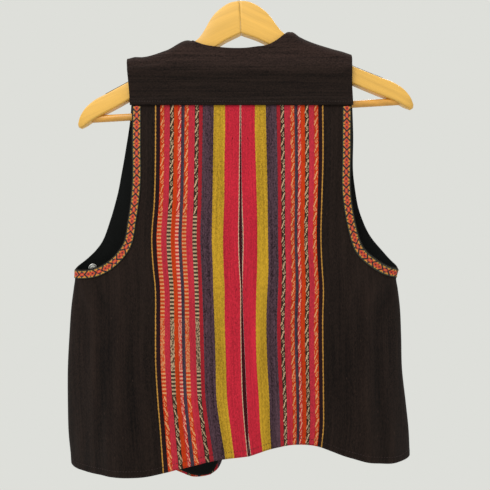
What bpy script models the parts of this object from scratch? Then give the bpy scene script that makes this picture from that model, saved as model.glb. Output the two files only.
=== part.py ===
"""Folk vest on a wooden coat hanger, hanging from its hook.

Units are metres. X points to the wearer's right, Y to the wearer's front and Z up.
The origin is the inside top of the hook, where it rests on a rail. The back of the
vest faces -Y. Every cloth piece is a thin closed wall, laid on one body surface.
"""
import math

import bmesh
import bpy
import numpy as np
from mathutils import Matrix

MM = 0.001

# Cloth walls and the gap between neighbours
GAP = 0.3 * MM
PANEL = 1.6 * MM
YOKE = 1.8 * MM
YOKE_HEM = 0.8 * MM
LINING = 1.0 * MM
RIBBON = 1.0 * MM
RIBBON_WIDTH = 11.0 * MM
RIBBON_INSET = 1.2 * MM
RIBBON_START = 1.2 * MM
LINING_INSET = 5.0 * MM

# Rows and columns of a panel, and the columns under the ribbon by their distance to the edge
ARM_ROWS = 13
SEAM_ROWS = 8
BACK_COLUMNS = 13
FRONT_COLUMNS = 10
RIBBON_COLUMNS = (RIBBON_INSET + RIBBON_WIDTH, RIBBON_INSET + RIBBON_WIDTH / 2, RIBBON_INSET, 0.0)
COLUMN_CROWDING = 1.3

# Heights above the hem's outer end where a panel's side seam has its last two rows
SEAM_FOOT_HIGH = 8.0 * MM
SEAM_FOOT_LOW = 3.0 * MM

# Points along a curve while it is worked out
FINE_POINTS = 90

# The yoke: a band over the shoulders
RIDGE_RADIUS = 12.5 * MM
YOKE_LOW = -197.5 * MM
YOKE_FRONT_DROP = 34.0 * MM

# Snap stud on the wearer's left front
STUD_RADIUS = 6.0 * MM
STUD_THICKNESS = 1.6 * MM
STUD_CLEARANCE = 2.2 * MM
STUD_X = -195.3 * MM
STUD_Z = -412.0 * MM

# Hanger, in its own frame before it tips to the left
HANGER_TILT = math.radians(3.3)
HANGER_CORNER = 4.0 * MM
CROWN_TOP = -57.5 * MM
BAR_RADIUS = 4.7 * MM
BAR_Z = -202.0 * MM
BAR_HALF = 205.0 * MM
WIRE_RADIUS = 1.8 * MM
HOOK_RADIUS = 20.0 * MM
SHANK_DEPTH = 24.0 * MM
GRIP_WIDTH = 6.6 * MM
GRIP_THICKNESS = 1.2 * MM
GRIP_START = 100.0 * MM
GRIP_END = 184.0 * MM


def table(names, rows):
    """A short table in millimetres as named columns in metres."""
    columns = np.array(rows, dtype=float).T * MM
    return dict(zip(names.split(), columns))


# Sides of the body where its seams run, the centre back seam, and the half depths
BODY = table("z left right", [
    (-50, -216, 214),
    (-412, -216, 214),
    (-460, -220, 217),
    (-502, -223, 219),
    (-544, -225, 220),
    (-590, -225, 225),
    (-629, -224, 229),
    (-672, -220, 230),
    (-700, -219, 229)])
SEAM = table("z x", [
    (-185, 5), (-250, 6), (-350, 7), (-452, 8), (-556, 12), (-634, 15.5), (-700, 17)])
DEPTH = table("z back front", [
    (-95, 10.4, 10.8),
    (-140, 10.6, 11.2),
    (-195, 12.0, 12.5),
    (-280, 16.0, 18.0),
    (-410, 22.0, 24.0),
    (-550, 27.0, 28.0),
    (-700, 30.0, 32.0)])

# Soft folds of the back: place, how far they stand out, half width and top
FOLDS = table("x out width top", [
    (-192, 4, 17, -430),
    (-146, 16, 50, -380),
    (-100, -4, 18, -520),
    (-25, -5, 32, -470),
    (83, -15, 58, -360),
    (168, 5, 16, -450),
    (200, 8, 30, -400)])
FRONT_FOLDS = table("x out width top", [
    (-150, 9, 30, -420),
    (-80, -7, 26, -400),
    (120, 8, 28, -430),
    (185, -6, 24, -450)])
FOLD_BOTTOM = -690.0 * MM

# How far the free front edges swing out at the hem
SWING_LEFT = 4.0 * MM
SWING_RIGHT = 95.0 * MM
SWING_TOP = -260.0 * MM
SWING_BEND = 1.6

# Share of the half width at the side seam in which the folds die out
FOLD_EDGE = 0.25

# Where the section goes from flat at the shoulders to round at the side seams
FLAT_ABOVE = -200.0 * MM
ROUND_BELOW = -398.0 * MM
ROUNDNESS = 2.5

# Armhole edges from the shoulder down to the side seam
PIT = -412.5 * MM
ARM_BACK_LEFT = table("x z", [
    (-138, -186), (-137.6, -255), (-137.5, -301), (-142.8, -348), (-149.5, -380),
    (-162.5, -397), (-183, -410), (-206, -413.5)])
ARM_BACK_RIGHT = table("x z", [
    (151.5, -186), (150.7, -255), (150.8, -320), (157.5, -358), (165.5, -382),
    (185, -400), (203.5, -409.5)])
ARM_FRONT_LEFT = table("x z", [
    (-141.5, -150), (-144, -210), (-151.7, -257), (-163, -314), (-172, -347),
    (-185, -380), (-204, -401)])
ARM_FRONT_RIGHT = table("x z", [
    (153.5, -148), (157.5, -230), (158.8, -292), (167, -335), (181, -368),
    (196.5, -388), (207.5, -401)])

# Neck and centre front edges, from the shoulder to the rounded lower corner
FRONT_EDGE_LEFT = table("x z", [
    (-61, -132), (-58, -180), (-50, -250), (-40, -330), (-31, -400), (-25, -470),
    (-22, -560), (-21, -660), (-23, -688), (-30, -698)])
FRONT_EDGE_RIGHT = table("x z", [
    (73, -121), (71, -180), (65, -250), (57, -330), (50, -400), (46, -470),
    (44, -560), (43, -652), (45, -676), (52, -686)])

# Hems, from the centre outwards
HEM_BACK_LEFT = table("x z", [
    (15, -655), (-16, -659), (-38, -662.6), (-75, -669.2), (-103, -674.7),
    (-136, -676.5), (-172, -676.2), (-198, -676), (-212, -672)])
HEM_BACK_RIGHT = table("x z", [
    (15, -655), (46, -647), (82, -643.2), (110, -645.6), (149, -654.5),
    (185, -661.4), (206, -664.2), (219, -662)])
HEM_FRONT_LEFT = table("x z", [
    (-41, -701.3), (-61, -701), (-90, -693), (-130, -684), (-175, -679), (-210, -674)])
HEM_FRONT_RIGHT = table("x z", [
    (64, -688), (90, -683), (125, -674), (165, -668), (205, -665), (217, -663)])

# Top of the yoke as it is seen from behind, and the share of a full curl over the shoulder
YOKE_TOP = table("x z", [
    (-144, -133), (-138, -131.2), (-126, -131), (-93.5, -121.9), (-61, -109.3),
    (-51, -114.8), (-26, -120.4), (-3.5, -122.1), (12, -121.8), (25, -120.2),
    (41, -117.6), (54, -110.5), (63.5, -103), (72, -97.7), (84, -104.6),
    (125, -119.7), (144, -125), (151, -127.5)])
YOKE_CURL = table("x curl", [
    (-144, 1), (-61, 1), (-57.8, 0.54), (-47, 0), (56, 0), (65, 0.26), (72, 1), (151, 1)])
YOKE_LEFT = table("z x", [(-205, -139), (-196, -139.2), (-153, -142), (-120, -144.4)])
YOKE_RIGHT = table("z x", [(-205, 152), (-196, 151.8), (-167, 149.6), (-120, 150.5)])
NECK_LEFT = -61.0 * MM
NECK_RIGHT = 72.0 * MM

# One arm of the hanger: its top and lower edges and its thickness, from the centre out
ARM = table("top_x top_z low_x low_z thick", [
    (0, -57.5, 0, -102, 15),
    (13, -59.5, 13, -104.5, 15),
    (25, -66, 24, -111, 15),
    (34.5, -74, 34, -117.5, 15),
    (41.5, -83, 45, -123.5, 15),
    (48, -93.5, 56, -129.2, 15),
    (56, -103.5, 68, -135.6, 15),
    (68, -111.5, 82, -143, 15),
    (108, -133, 112, -158.7, 15),
    (147, -153.5, 148, -177.7, 15),
    (182, -170, 177, -193.5, 15),
    (200, -178.5, 193, -202.5, 15),
    (212, -188.5, 204, -208.5, 15),
    (219, -200, 211.5, -213, 13),
    (221.5, -208, 217, -215.5, 8)])


def curve(at, knots, values):
    """A smooth curve through knots, read at one place or many."""
    if knots[0] > knots[-1]:
        knots = knots[::-1]
        values = values[::-1]
    slopes = np.gradient(values, knots)
    at = np.clip(at, knots[0], knots[-1])
    i = np.clip(np.searchsorted(knots, at) - 1, 0, len(knots) - 2)
    step = knots[i + 1] - knots[i]
    t = (at - knots[i]) / step
    start = (2 * t ** 3 - 3 * t ** 2 + 1) * values[i] + (t ** 3 - 2 * t ** 2 + t) * step * slopes[i]
    end = (3 * t ** 2 - 2 * t ** 3) * values[i + 1] + (t ** 3 - t ** 2) * step * slopes[i + 1]
    return start + end


def ramp(value):
    """A soft step from 0 to 1."""
    value = np.clip(value, 0.0, 1.0)
    return value * value * (3 - 2 * value)


def folds(x, z, rows):
    """How far the folds move the cloth outwards."""
    moved = np.zeros_like(x)
    for place, out, width, top in zip(rows["x"], rows["out"], rows["width"], rows["top"]):
        growth = ramp((top - z) / (top - FOLD_BOTTOM))
        moved += out * growth * np.exp(-((x - place) / width) ** 2)
    return moved


class Half:
    """One half of the body surface: side is -1 for the wearer's left and 1 for the right.

    A point of its cloth is (c, z): z is the height, and c is the distance round the
    body from the side seam, negative on the back and positive on the front.
    """

    samples = np.linspace(0.0, 1.0, 121)

    def __init__(self, side):
        self.side = side
        self.rings = {}

    def ring(self, z, front):
        """Points x, y of the half ring at height z from its side seam inwards, and their c."""
        key = (round(float(z), 7), front)
        if key in self.rings:
            return self.rings[key]
        left = curve(z, BODY["z"], BODY["left"])
        right = curve(z, BODY["z"], BODY["right"])
        middle = (left + right) / 2
        width = (right - left) / 2
        seam = curve(z, SEAM["z"], SEAM["x"])
        start = (seam - middle) * self.side / width
        share = start + (1 - start) * (1 - self.samples ** ROUNDNESS)
        flat = ramp((FLAT_ABOVE - z) / (FLAT_ABOVE - ROUND_BELOW))
        rounding = (1 - np.abs(share) ** ROUNDNESS) ** (1 / ROUNDNESS)
        x = middle + self.side * width * share
        depth = curve(z, DEPTH["z"], DEPTH["front" if front else "back"])
        y = depth * (1 + (rounding - 1) * flat)
        inner = np.clip((1 - share) / FOLD_EDGE, 0, 1)
        y = y + folds(x, z, FRONT_FOLDS if front else FOLDS) * inner
        if front:
            swing = SWING_LEFT if self.side < 0 else SWING_RIGHT
            fall = ramp((SWING_TOP - z) / (SWING_TOP - FOLD_BOTTOM))
            y = y + swing * fall * np.clip(1 - share, 0, 1) ** SWING_BEND
        y = y if front else -y
        lengths = np.hypot(np.diff(x), np.diff(y))
        c = np.concatenate(([0.0], np.cumsum(lengths)))
        self.rings[key] = (x, y, c)
        return self.rings[key]

    def place(self, c, z):
        """The point of the surface at (c, z)."""
        x, y, lengths = self.ring(z, c > 0)
        at = abs(c)
        return np.array((np.interp(at, lengths, x), np.interp(at, lengths, y), z))

    def across(self, x, z, front):
        """The c of the point of the surface at x and z."""
        xs, _, lengths = self.ring(z, front)
        order = np.argsort(xs)
        c = np.interp(x, xs[order], lengths[order])
        return c if front else -c

    def centre(self, z):
        """The c of the centre back seam."""
        return -self.ring(z, False)[2][-1]

    def normal(self, c, z):
        """The outward direction at (c, z)."""
        reach = 1.5 * MM
        low = c - reach
        high = c + reach
        if c > 0:
            low = max(low, 0.01 * MM)
        else:
            high = min(high, -0.01 * MM)
        along = self.place(high, z) - self.place(low, z)
        up = self.place(c, z + reach) - self.place(c, z - reach)
        out = np.cross(along, up) * self.side
        return out / np.linalg.norm(out)

    def edge(self, rows, front):
        """A table of x and z as cloth points."""
        return np.array([(self.across(x, z, front), z) for x, z in zip(rows["x"], rows["z"])])


def resample(points, count):
    """The smooth curve through points as evenly spaced points."""
    steps = np.linalg.norm(np.diff(points, axis=0), axis=1)
    knots = np.concatenate(([0.0], np.cumsum(steps)))
    fine = np.linspace(0.0, knots[-1], 8 * count + 1)
    dense = np.column_stack([curve(fine, knots, points[:, k]) for k in range(points.shape[1])])
    lengths = np.concatenate(([0.0], np.cumsum(np.linalg.norm(np.diff(dense, axis=0), axis=1))))
    even = np.linspace(0.0, lengths[-1], count + 1)
    return np.column_stack([np.interp(even, lengths, dense[:, k]) for k in range(points.shape[1])])


def patch(inner, outer, bottom, shares):
    """A grid of cloth points between an inner and an outer edge, ending on a bottom edge.

    shares says where the columns lie, from 0 at the inner edge to 1 at the outer one.
    """
    steps = np.linalg.norm(np.diff(bottom, axis=0), axis=1)
    lengths = np.concatenate(([0.0], np.cumsum(steps))) / np.sum(steps)
    v = np.linspace(0.0, 1.0, len(inner)) ** 2
    grid = np.zeros((len(inner), len(shares), 2))
    for j, u in enumerate(shares):
        foot = [np.interp(u, lengths, bottom[:, k]) for k in (0, 1)]
        straight = (1 - u) * bottom[0] + u * bottom[-1]
        grid[:, j] = (1 - u) * inner + u * outer + v[:, None] * (foot - straight)
    return grid


def offset(edge, distance):
    """An edge of cloth points moved sideways, to its left when distance is positive."""
    along = np.gradient(edge, axis=0)
    along /= np.linalg.norm(along, axis=1)[:, None]
    return edge + distance * np.column_stack((-along[:, 1], along[:, 0]))


def lay(half, grid, low, high):
    """Two grids of points: the cloth grid at low and high above the surface."""
    shape = grid.shape[:2] + (3,)
    under = np.zeros(shape)
    over = np.zeros(shape)
    for i in range(shape[0]):
        for j in range(shape[1]):
            c, z = grid[i, j]
            at = half.place(c, z)
            out = half.normal(c, z)
            under[i, j] = at + low * out
            over[i, j] = at + high * out
    return under, over


def material(name, colour, roughness, metallic=0.0):
    """A plain material."""
    made = bpy.data.materials.new(name)
    made.use_nodes = True
    shader = made.node_tree.nodes["Principled BSDF"]
    shader.inputs["Base Color"].default_value = (*colour, 1.0)
    shader.inputs["Roughness"].default_value = roughness
    shader.inputs["Metallic"].default_value = metallic
    made.diffuse_color = (*colour, 1.0)
    return made


def finish(name, mesh, finish_material):
    """An object from a bmesh, its faces turned outwards."""
    bmesh.ops.recalc_face_normals(mesh, faces=mesh.faces)
    data = bpy.data.meshes.new(name)
    mesh.to_mesh(data)
    mesh.free()
    data.shade_smooth()
    data.set_sharp_from_angle(angle=math.radians(40))
    data.materials.append(finish_material)
    made = bpy.data.objects.new(name, data)
    bpy.context.scene.collection.objects.link(made)
    return made


def wall(name, under, over, finish_material, used=None, turned_from=None):
    """A closed wall between two grids of points; used says which cells are cloth.

    Each cell is two triangles, split the same way as the layer it lies on. From the row
    turned_from on, the rows run the other way, so the cells are split the other way too.
    """
    rows, columns = over.shape[:2]
    layers = (under, over)
    mesh = bmesh.new()
    verts = {}

    def face(layer, corners):
        """One face between corners of a layer."""
        keys = [(corner_layer, *corner) for corner_layer, corner in zip(layer, corners)]
        for key in keys:
            if key not in verts:
                verts[key] = mesh.verts.new(layers[key[0]][key[1], key[2]])
        mesh.faces.new([verts[key] for key in keys])

    edges = set()
    for i in range(rows - 1):
        for j in range(columns - 1):
            if used is not None and not used(i, j):
                continue
            corners = ((i, j), (i, j + 1), (i + 1, j + 1), (i + 1, j))
            turned = turned_from is not None and i >= turned_from
            start = corners[1:] + corners[:1] if turned else corners
            for split in ((start[0], start[1], start[2]), (start[0], start[2], start[3])):
                face((1, 1, 1), split)
                face((0, 0, 0), split[::-1])
            edges.update(zip(corners, corners[1:] + corners[:1]))
    for first, second in sorted(edges):
        if (second, first) not in edges:
            face((1, 1, 0, 0), (second, first, first, second))
    return finish(name, mesh, finish_material)


def tube(name, path, radius, sides, finish_material):
    """A round bar along a path in the XZ plane, with flat ends."""
    mesh = bmesh.new()
    along = np.gradient(path, axis=0)
    along /= np.linalg.norm(along, axis=1)[:, None]
    rings = []
    for at, forward in zip(path, along):
        side = np.array((-forward[2], 0.0, forward[0]))
        ring = []
        for k in range(sides):
            angle = 2 * math.pi * k / sides
            around = side * math.cos(angle) + np.array((0.0, 1.0, 0.0)) * math.sin(angle)
            ring.append(mesh.verts.new(at + radius * around))
        rings.append(ring)
    join_rings(mesh, rings)
    return finish(name, mesh, finish_material)


def join_rings(mesh, rings):
    """Faces between rings of points, with a flat face on each end."""
    for first, second in zip(rings, rings[1:]):
        count = len(first)
        for k in range(count):
            following = (k + 1) % count
            mesh.faces.new((first[k], first[following], second[following], second[k]))
    mesh.faces.new(rings[0])
    mesh.faces.new(list(reversed(rings[-1])))


def tip_hanger(made):
    """Turn a hanger piece to the angle at which it hangs."""
    made.data.transform(Matrix.Rotation(-HANGER_TILT, 4, "Y"))
    return made


class Panel:
    """Half of the back or one front, as a grid of cloth points.

    The first columns run from the inner edge to the ribbon, and the last ones, which
    end at the side seam, lie under the ribbon and reach the armhole's edge.
    """

    def __init__(self, half, front, armhole, inner, hem, ribbon_top):
        self.half = half
        self.front = front
        sign = 1 if front else -1
        seam_c = sign * GAP / 2
        arm = np.vstack((half.edge(armhole, front), [(seam_c, PIT)]))
        arm = resample(arm, FINE_POINTS)
        shown = arm[arm[:, 1] < ribbon_top]
        shown[0] = (shown[0, 0], ribbon_top)
        arm = np.vstack((arm[:1], resample(shown, ARM_ROWS)))
        strips = []
        for reach in RIBBON_COLUMNS:
            strip = offset(arm, sign * reach)
            strip[-1] = (seam_c, PIT - reach)
            strips.append(strip)
        foot = half.edge(hem, front)
        seam_z = np.linspace(strips[0][-1, 1], foot[-1, 1] + SEAM_FOOT_HIGH, SEAM_ROWS)[1:]
        seam = [(seam_c, z) for z in (*seam_z, foot[-1, 1] + SEAM_FOOT_LOW)]
        outer = np.vstack((strips[0], seam))
        inner = resample(inner, len(outer) - 2)
        back_up = inner[-2] - inner[-1]
        last = inner[-1] + back_up * LINING_INSET / np.linalg.norm(back_up)
        inner = np.vstack((inner[:-1], [last], inner[-1:]))
        foot = resample(np.vstack(([inner[-1]], foot[1:-1], [outer[-1]])), FINE_POINTS)
        across = np.linspace(0.0, 1.0, FRONT_COLUMNS if front else BACK_COLUMNS)
        shares = 1 - (1 - across) ** COLUMN_CROWDING
        if front:
            shares = np.insert(shares, 1, LINING_INSET / np.linalg.norm(foot[0] - foot[-1]))
        self.main = len(shares)
        self.arm_rows = len(arm)
        grid = patch(inner, outer, foot, shares)
        border = np.zeros((len(outer), len(strips) - 1, 2))
        for k, strip in enumerate(strips[1:]):
            border[:, k] = outer
            border[:len(strip), k] = strip
        self.grid = np.concatenate((grid, border), axis=1)

    def used(self, i, j):
        """Whether a cell is cloth."""
        return j < self.main - 1 or i < self.arm_rows - 1

    def ribbon_rows(self):
        """The cloth points under the ribbon, from its top down to the side seam."""
        return self.grid[1:self.arm_rows, self.main - 1:self.main + len(RIBBON_COLUMNS) - 2]


def vest_half(side, tables, cloth, lining_cloth, trim):
    """The back, front, lining and ribbon of one side."""
    half = Half(side)
    hand = "left" if side < 0 else "right"
    arm_back, hem_back, arm_front, free_edge, hem_front = tables
    heights = np.linspace(arm_back["z"][0], hem_back["z"][0], FINE_POINTS)
    centre = np.array([(half.centre(z) + GAP / 2, z) for z in heights])
    back = Panel(half, False, arm_back, centre, hem_back, YOKE_LOW - RIBBON_START)
    wall("back_" + hand, *lay(half, back.grid, -PANEL, 0.0), cloth, back.used)
    edge = half.edge(free_edge, True)
    yoke_edge = float(yoke_top(arm_front["x"][0])) - YOKE_FRONT_DROP
    front = Panel(half, True, arm_front, edge, hem_front, yoke_edge - RIBBON_START)
    wall("front_" + hand, *lay(half, front.grid, -PANEL, 0.0), cloth, front.used)
    inside = front.grid[2:-1, 1:-1]
    depth = PANEL + GAP

    def lined(i, j):
        return front.used(i + 2, j + 1)

    wall("lining_" + hand, *lay(half, inside, -depth - LINING, -depth), lining_cloth, lined)
    behind = lay(half, back.ribbon_rows(), GAP, GAP + RIBBON)
    before = lay(half, front.ribbon_rows()[::-1], GAP, GAP + RIBBON)
    under, over = (np.concatenate(pair) for pair in zip(behind, before))
    wall("ribbon_" + hand, under, over, trim, None, len(behind[0]))


def yoke_top(x):
    """Height of the yoke's top edge at x."""
    return curve(x, YOKE_TOP["x"], YOKE_TOP["z"])


def yoke_point(x_share, path_share, front, depth_in):
    """A point of the yoke, depth_in below its outer face.

    x_share runs from its left edge to its right one. On the back path_share runs from the
    lower edge up to the top, and on the front from the top down to the front edge.
    """
    end_x = YOKE_LEFT["x"][-1] * (1 - x_share) + YOKE_RIGHT["x"][-1] * x_share
    curl = float(np.interp(end_x, YOKE_CURL["x"], YOKE_CURL["curl"])) / MM
    top = float(yoke_top(end_x))
    base = top - RIDGE_RADIUS * math.sin(curl * math.pi / 2)
    arc = RIDGE_RADIUS * curl * math.pi / 2
    lower_edge = top - YOKE_FRONT_DROP if front else YOKE_LOW
    straight = abs(base - lower_edge)
    travelled = path_share * (straight + arc)
    if front:
        angle = min(travelled / RIDGE_RADIUS, math.pi / 2)
        drop = max(travelled - arc, 0.0)
    else:
        drop = max(straight - travelled, 0.0)
        angle = -math.pi / 2 + max(travelled - straight, 0.0) / RIDGE_RADIUS
    z = base - drop + (RIDGE_RADIUS - depth_in) * math.cos(angle)
    name = "front" if front else "back"
    out = curve(base - drop, DEPTH["z"], DEPTH[name]) + GAP + YOKE - depth_in
    left = curve(z, YOKE_LEFT["z"], YOKE_LEFT["x"])
    right = curve(z, YOKE_RIGHT["z"], YOKE_RIGHT["x"])
    return np.array((left * (1 - x_share) + right * x_share, out * math.sin(angle), z))


def yoke(cloth):
    """The band over both shoulders, with the back of the neck cut out of it."""
    span = YOKE_RIGHT["x"][-1] - YOKE_LEFT["x"][-1]
    neck_left = (NECK_LEFT - YOKE_LEFT["x"][-1]) / span
    neck_right = (NECK_RIGHT - YOKE_LEFT["x"][-1]) / span
    neck = (1 - np.cos(np.linspace(0, math.pi, 15))) / 2
    shares = np.concatenate((
        [0.0, 0.012, 0.03],
        np.linspace(0.09, neck_left, 4),
        (neck_left + (neck_right - neck_left) * neck)[1:],
        np.linspace(neck_right, 0.92, 4)[1:],
        [0.975, 0.99, 1.0]))
    behind = [0, 0.10, 0.135, 0.4, 0.6, 0.72, 0.81, 0.91, 1.0]
    before = [0.19, 0.38, 0.57, 0.78, 1.0]
    rows = [(share, False) for share in behind] + [(share, True) for share in before]
    shape = (len(rows), len(shares), 3)
    under = np.zeros(shape)
    over = np.zeros(shape)
    for i, (path_share, front) in enumerate(rows):
        proud = YOKE_HEM if i < 2 else 0.0
        for j, x_share in enumerate(shares):
            over[i, j] = yoke_point(x_share, path_share, front, -proud)
            under[i, j] = yoke_point(x_share, path_share, front, YOKE)

    def used(i, j):
        shoulder = shares[j + 1] < neck_left + 1e-6 or shares[j] > neck_right - 1e-6
        return i < len(behind) - 1 or shoulder

    return wall("yoke", under, over, cloth, used)


def disc(name, half, low, high, metal):
    """A round metal cap with a domed face, across the cloth at the stud's place."""
    c = half.across(STUD_X, STUD_Z, True)
    at = half.place(c, STUD_Z)
    out = half.normal(c, STUD_Z)
    side = np.cross(out, (0.0, 0.0, 1.0))
    side /= np.linalg.norm(side)
    up = np.cross(side, out)
    mesh = bmesh.new()
    rings = []
    for height, radius in ((low, 0.92), (low + 0.25 * (high - low), 1.0),
                           (low + 0.6 * (high - low), 0.94), (high, 0.55)):
        ring = []
        for k in range(16):
            angle = 2 * math.pi * k / 16
            around = side * math.cos(angle) + up * math.sin(angle)
            ring.append(mesh.verts.new(at + out * height + around * radius * STUD_RADIUS))
        rings.append(ring)
    join_rings(mesh, rings)
    return finish(name, mesh, metal)


def stud(metal):
    """The snap stud: a cap outside, half over the ribbon, and a socket inside the lining."""
    half = Half(-1)
    outside = GAP + RIBBON + GAP
    disc("stud_cap", half, outside, outside + STUD_THICKNESS, metal)
    inside = -(PANEL + GAP + LINING + STUD_CLEARANCE)
    disc("stud_socket", half, inside, inside - STUD_THICKNESS, metal)


def arm_ring(top, low, thick):
    """A rounded oblong between the arm's top and lower edge."""
    middle = (top + low) / 2
    rise = top - low
    height = np.linalg.norm(rise)
    rise /= height
    corner = min(HANGER_CORNER, 0.45 * thick, 0.45 * height)
    ring = []
    for k, (sign_y, sign_z) in enumerate(((1, 1), (-1, 1), (-1, -1), (1, -1))):
        for turn in (0.0, 0.5, 1.0):
            angle = (k + turn) * math.pi / 2
            y = sign_y * (thick / 2 - corner) + corner * math.cos(angle)
            up = sign_z * (height / 2 - corner) + corner * math.sin(angle)
            ring.append((middle[0] + rise[0] * up, y, middle[1] + rise[1] * up))
    return ring


def hanger_arm(side, wood):
    """One half of the hanger's wood, from the joint in its middle to the rounded end."""
    names = ("top_x", "top_z", "low_x", "low_z", "thick")
    stations = resample(np.column_stack([ARM[name] for name in names]), 21)
    mesh = bmesh.new()
    rings = []
    for station in stations:
        top = station[0:2] * (side, 1)
        low = station[2:4] * (side, 1)
        top[0] = side * max(abs(top[0]), GAP / 2)
        low[0] = side * max(abs(low[0]), GAP / 2)
        rings.append([mesh.verts.new(point) for point in arm_ring(top, low, station[4])])
    join_rings(mesh, rings)
    made = finish("hanger_left" if side < 0 else "hanger_right", mesh, wood)
    return tip_hanger(made)


def cut(made, cutter):
    """Cut a guide solid out of an object."""
    cutter.hide_render = True
    cutter.display_type = "WIRE"
    modifier = made.modifiers.new("Cut", "BOOLEAN")
    modifier.operation = "DIFFERENCE"
    modifier.solver = "EXACT"
    modifier.object = cutter


def hook_path():
    """Middle line of the wire: up out of the wood, round over the rail and down to its tip."""
    radius = HOOK_RADIUS + WIRE_RADIUS
    foot = CROWN_TOP - SHANK_DEPTH
    neck = CROWN_TOP + 7 * MM
    shank = np.linspace((0.0, 0.0, foot), (0.0, 0.0, neck), 4)
    points = [(0.0, 0.0, neck), (0.5 * MM, 0.0, neck + 4 * MM), (4 * MM, 0.0, neck + 8.4 * MM)]
    for degrees in range(-55, 196, 10):
        angle = math.radians(degrees)
        points.append((radius * math.cos(angle), 0.0, -HOOK_RADIUS + radius * math.sin(angle)))
    return np.vstack((shank[:-1], resample(np.array(points), 28)))


def hanger(wood, metal, rubber):
    """The wooden hanger with its bar, wire hook and two grip strips."""
    arms = [hanger_arm(side, wood) for side in (-1, 1)]
    bar_ends = np.array([(-BAR_HALF, 0, BAR_Z), (0, 0, BAR_Z), (BAR_HALF, 0, BAR_Z)])
    tip_hanger(tube("hanger_bar", bar_ends, BAR_RADIUS, 16, wood))
    tip_hanger(tube("hook", hook_path(), WIRE_RADIUS, 8, metal))
    reach = BAR_HALF + GAP
    bore_ends = np.array([(-reach, 0, BAR_Z), (0, 0, BAR_Z), (reach, 0, BAR_Z)])
    bar_bore = tip_hanger(tube("bar_bore", bore_ends, BAR_RADIUS + GAP, 16, wood))
    low = CROWN_TOP - SHANK_DEPTH - GAP
    high = CROWN_TOP + 10 * MM
    shank_ends = np.array([(0, 0, low), (0, 0, (low + high) / 2), (0, 0, high)])
    shank_bore = tip_hanger(tube("shank_bore", shank_ends, WIRE_RADIUS + GAP, 16, wood))
    for arm in arms:
        cut(arm, shank_bore)
        cut(arm, bar_bore)
    for side in (-1, 1):
        grip(side, rubber)


def grip(side, rubber):
    """A thin rubber strip along the top of an arm."""
    along = np.linspace(GRIP_START, GRIP_END, 9)
    height = curve(along, ARM["top_x"], ARM["top_z"])
    slope = np.gradient(height, along)
    out = np.column_stack((-slope * side, np.zeros(9), np.ones(9)))
    out /= np.linalg.norm(out, axis=1)[:, None]
    middle = np.column_stack((along * side, np.zeros(9), height))
    grids = []
    for lift in (2 * GAP, 2 * GAP + GRIP_THICKNESS):
        edges = [middle + lift * out + np.array((0, y, 0)) for y in (-GRIP_WIDTH / 2, GRIP_WIDTH / 2)]
        grids.append(np.stack(edges, axis=1))
    made = wall("grip_left" if side < 0 else "grip_right", grids[0], grids[1], rubber)
    return tip_hanger(made)


def shade(red, green, blue):
    """A colour as it is seen, 0 to 255, as linear light."""
    return tuple((value / 255) ** 2.2 for value in (red, green, blue))


def clear_scene():
    """Remove what the scene holds."""
    for made in list(bpy.data.objects):
        bpy.data.objects.remove(made, do_unlink=True)


def build():
    """Make every piece of the vest and its hanger."""
    clear_scene()
    black = material("black_wool", shade(38, 30, 29), 0.92)
    striped = material("striped_cloth", shade(160, 50, 48), 0.9)
    lining = material("lining_cotton", shade(20, 21, 23), 0.85)
    trim = material("ribbon_trim", shade(196, 140, 50), 0.6)
    metal = material("steel", shade(190, 190, 186), 0.3, 1.0)
    wood = material("varnished_wood", shade(238, 198, 118), 0.35)
    rubber = material("black_rubber", shade(28, 28, 28), 0.7)
    left = (ARM_BACK_LEFT, HEM_BACK_LEFT, ARM_FRONT_LEFT, FRONT_EDGE_LEFT, HEM_FRONT_LEFT)
    right = (ARM_BACK_RIGHT, HEM_BACK_RIGHT, ARM_FRONT_RIGHT, FRONT_EDGE_RIGHT, HEM_FRONT_RIGHT)
    vest_half(-1, left, striped, lining, trim)
    vest_half(1, right, striped, lining, trim)
    yoke(black)
    stud(metal)
    hanger(wood, metal, rubber)


build()
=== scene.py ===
"""Looks of a folk vest on a wooden coat hanger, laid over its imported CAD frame.

The vest hangs with its back to -Y. Each cloth piece is a thin shell on one body surface,
whose points are read as cloth points (c, z): z is the height, and c is the distance round
the body from the side seam.
"""

import math

import bpy
import numpy as np
from bpy.props import FloatProperty, FloatVectorProperty, PointerProperty
from mathutils import Matrix, Vector


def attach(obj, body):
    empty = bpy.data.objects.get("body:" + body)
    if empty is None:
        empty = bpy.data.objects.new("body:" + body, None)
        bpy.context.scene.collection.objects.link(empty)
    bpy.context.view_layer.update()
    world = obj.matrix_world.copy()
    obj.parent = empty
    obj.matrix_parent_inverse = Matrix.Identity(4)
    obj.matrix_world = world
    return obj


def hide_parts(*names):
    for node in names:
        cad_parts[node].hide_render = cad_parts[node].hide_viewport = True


bl_info = {
    "name": "Folk Vest on a Hanger",
    "version": (1, 0, 0),
    "blender": (4, 5, 0),
    "location": "View3D > Sidebar > Folk Vest",
    "description": "Makes the cloth, trim, stitches and hanger of a striped handwoven vest",
    "category": "Object",
}

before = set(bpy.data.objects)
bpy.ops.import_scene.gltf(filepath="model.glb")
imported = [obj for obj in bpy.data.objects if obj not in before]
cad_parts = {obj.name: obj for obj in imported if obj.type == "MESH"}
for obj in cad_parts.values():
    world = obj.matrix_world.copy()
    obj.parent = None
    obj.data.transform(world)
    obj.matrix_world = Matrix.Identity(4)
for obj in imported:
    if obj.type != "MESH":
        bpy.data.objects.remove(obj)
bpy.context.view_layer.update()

MM = 0.001

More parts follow.
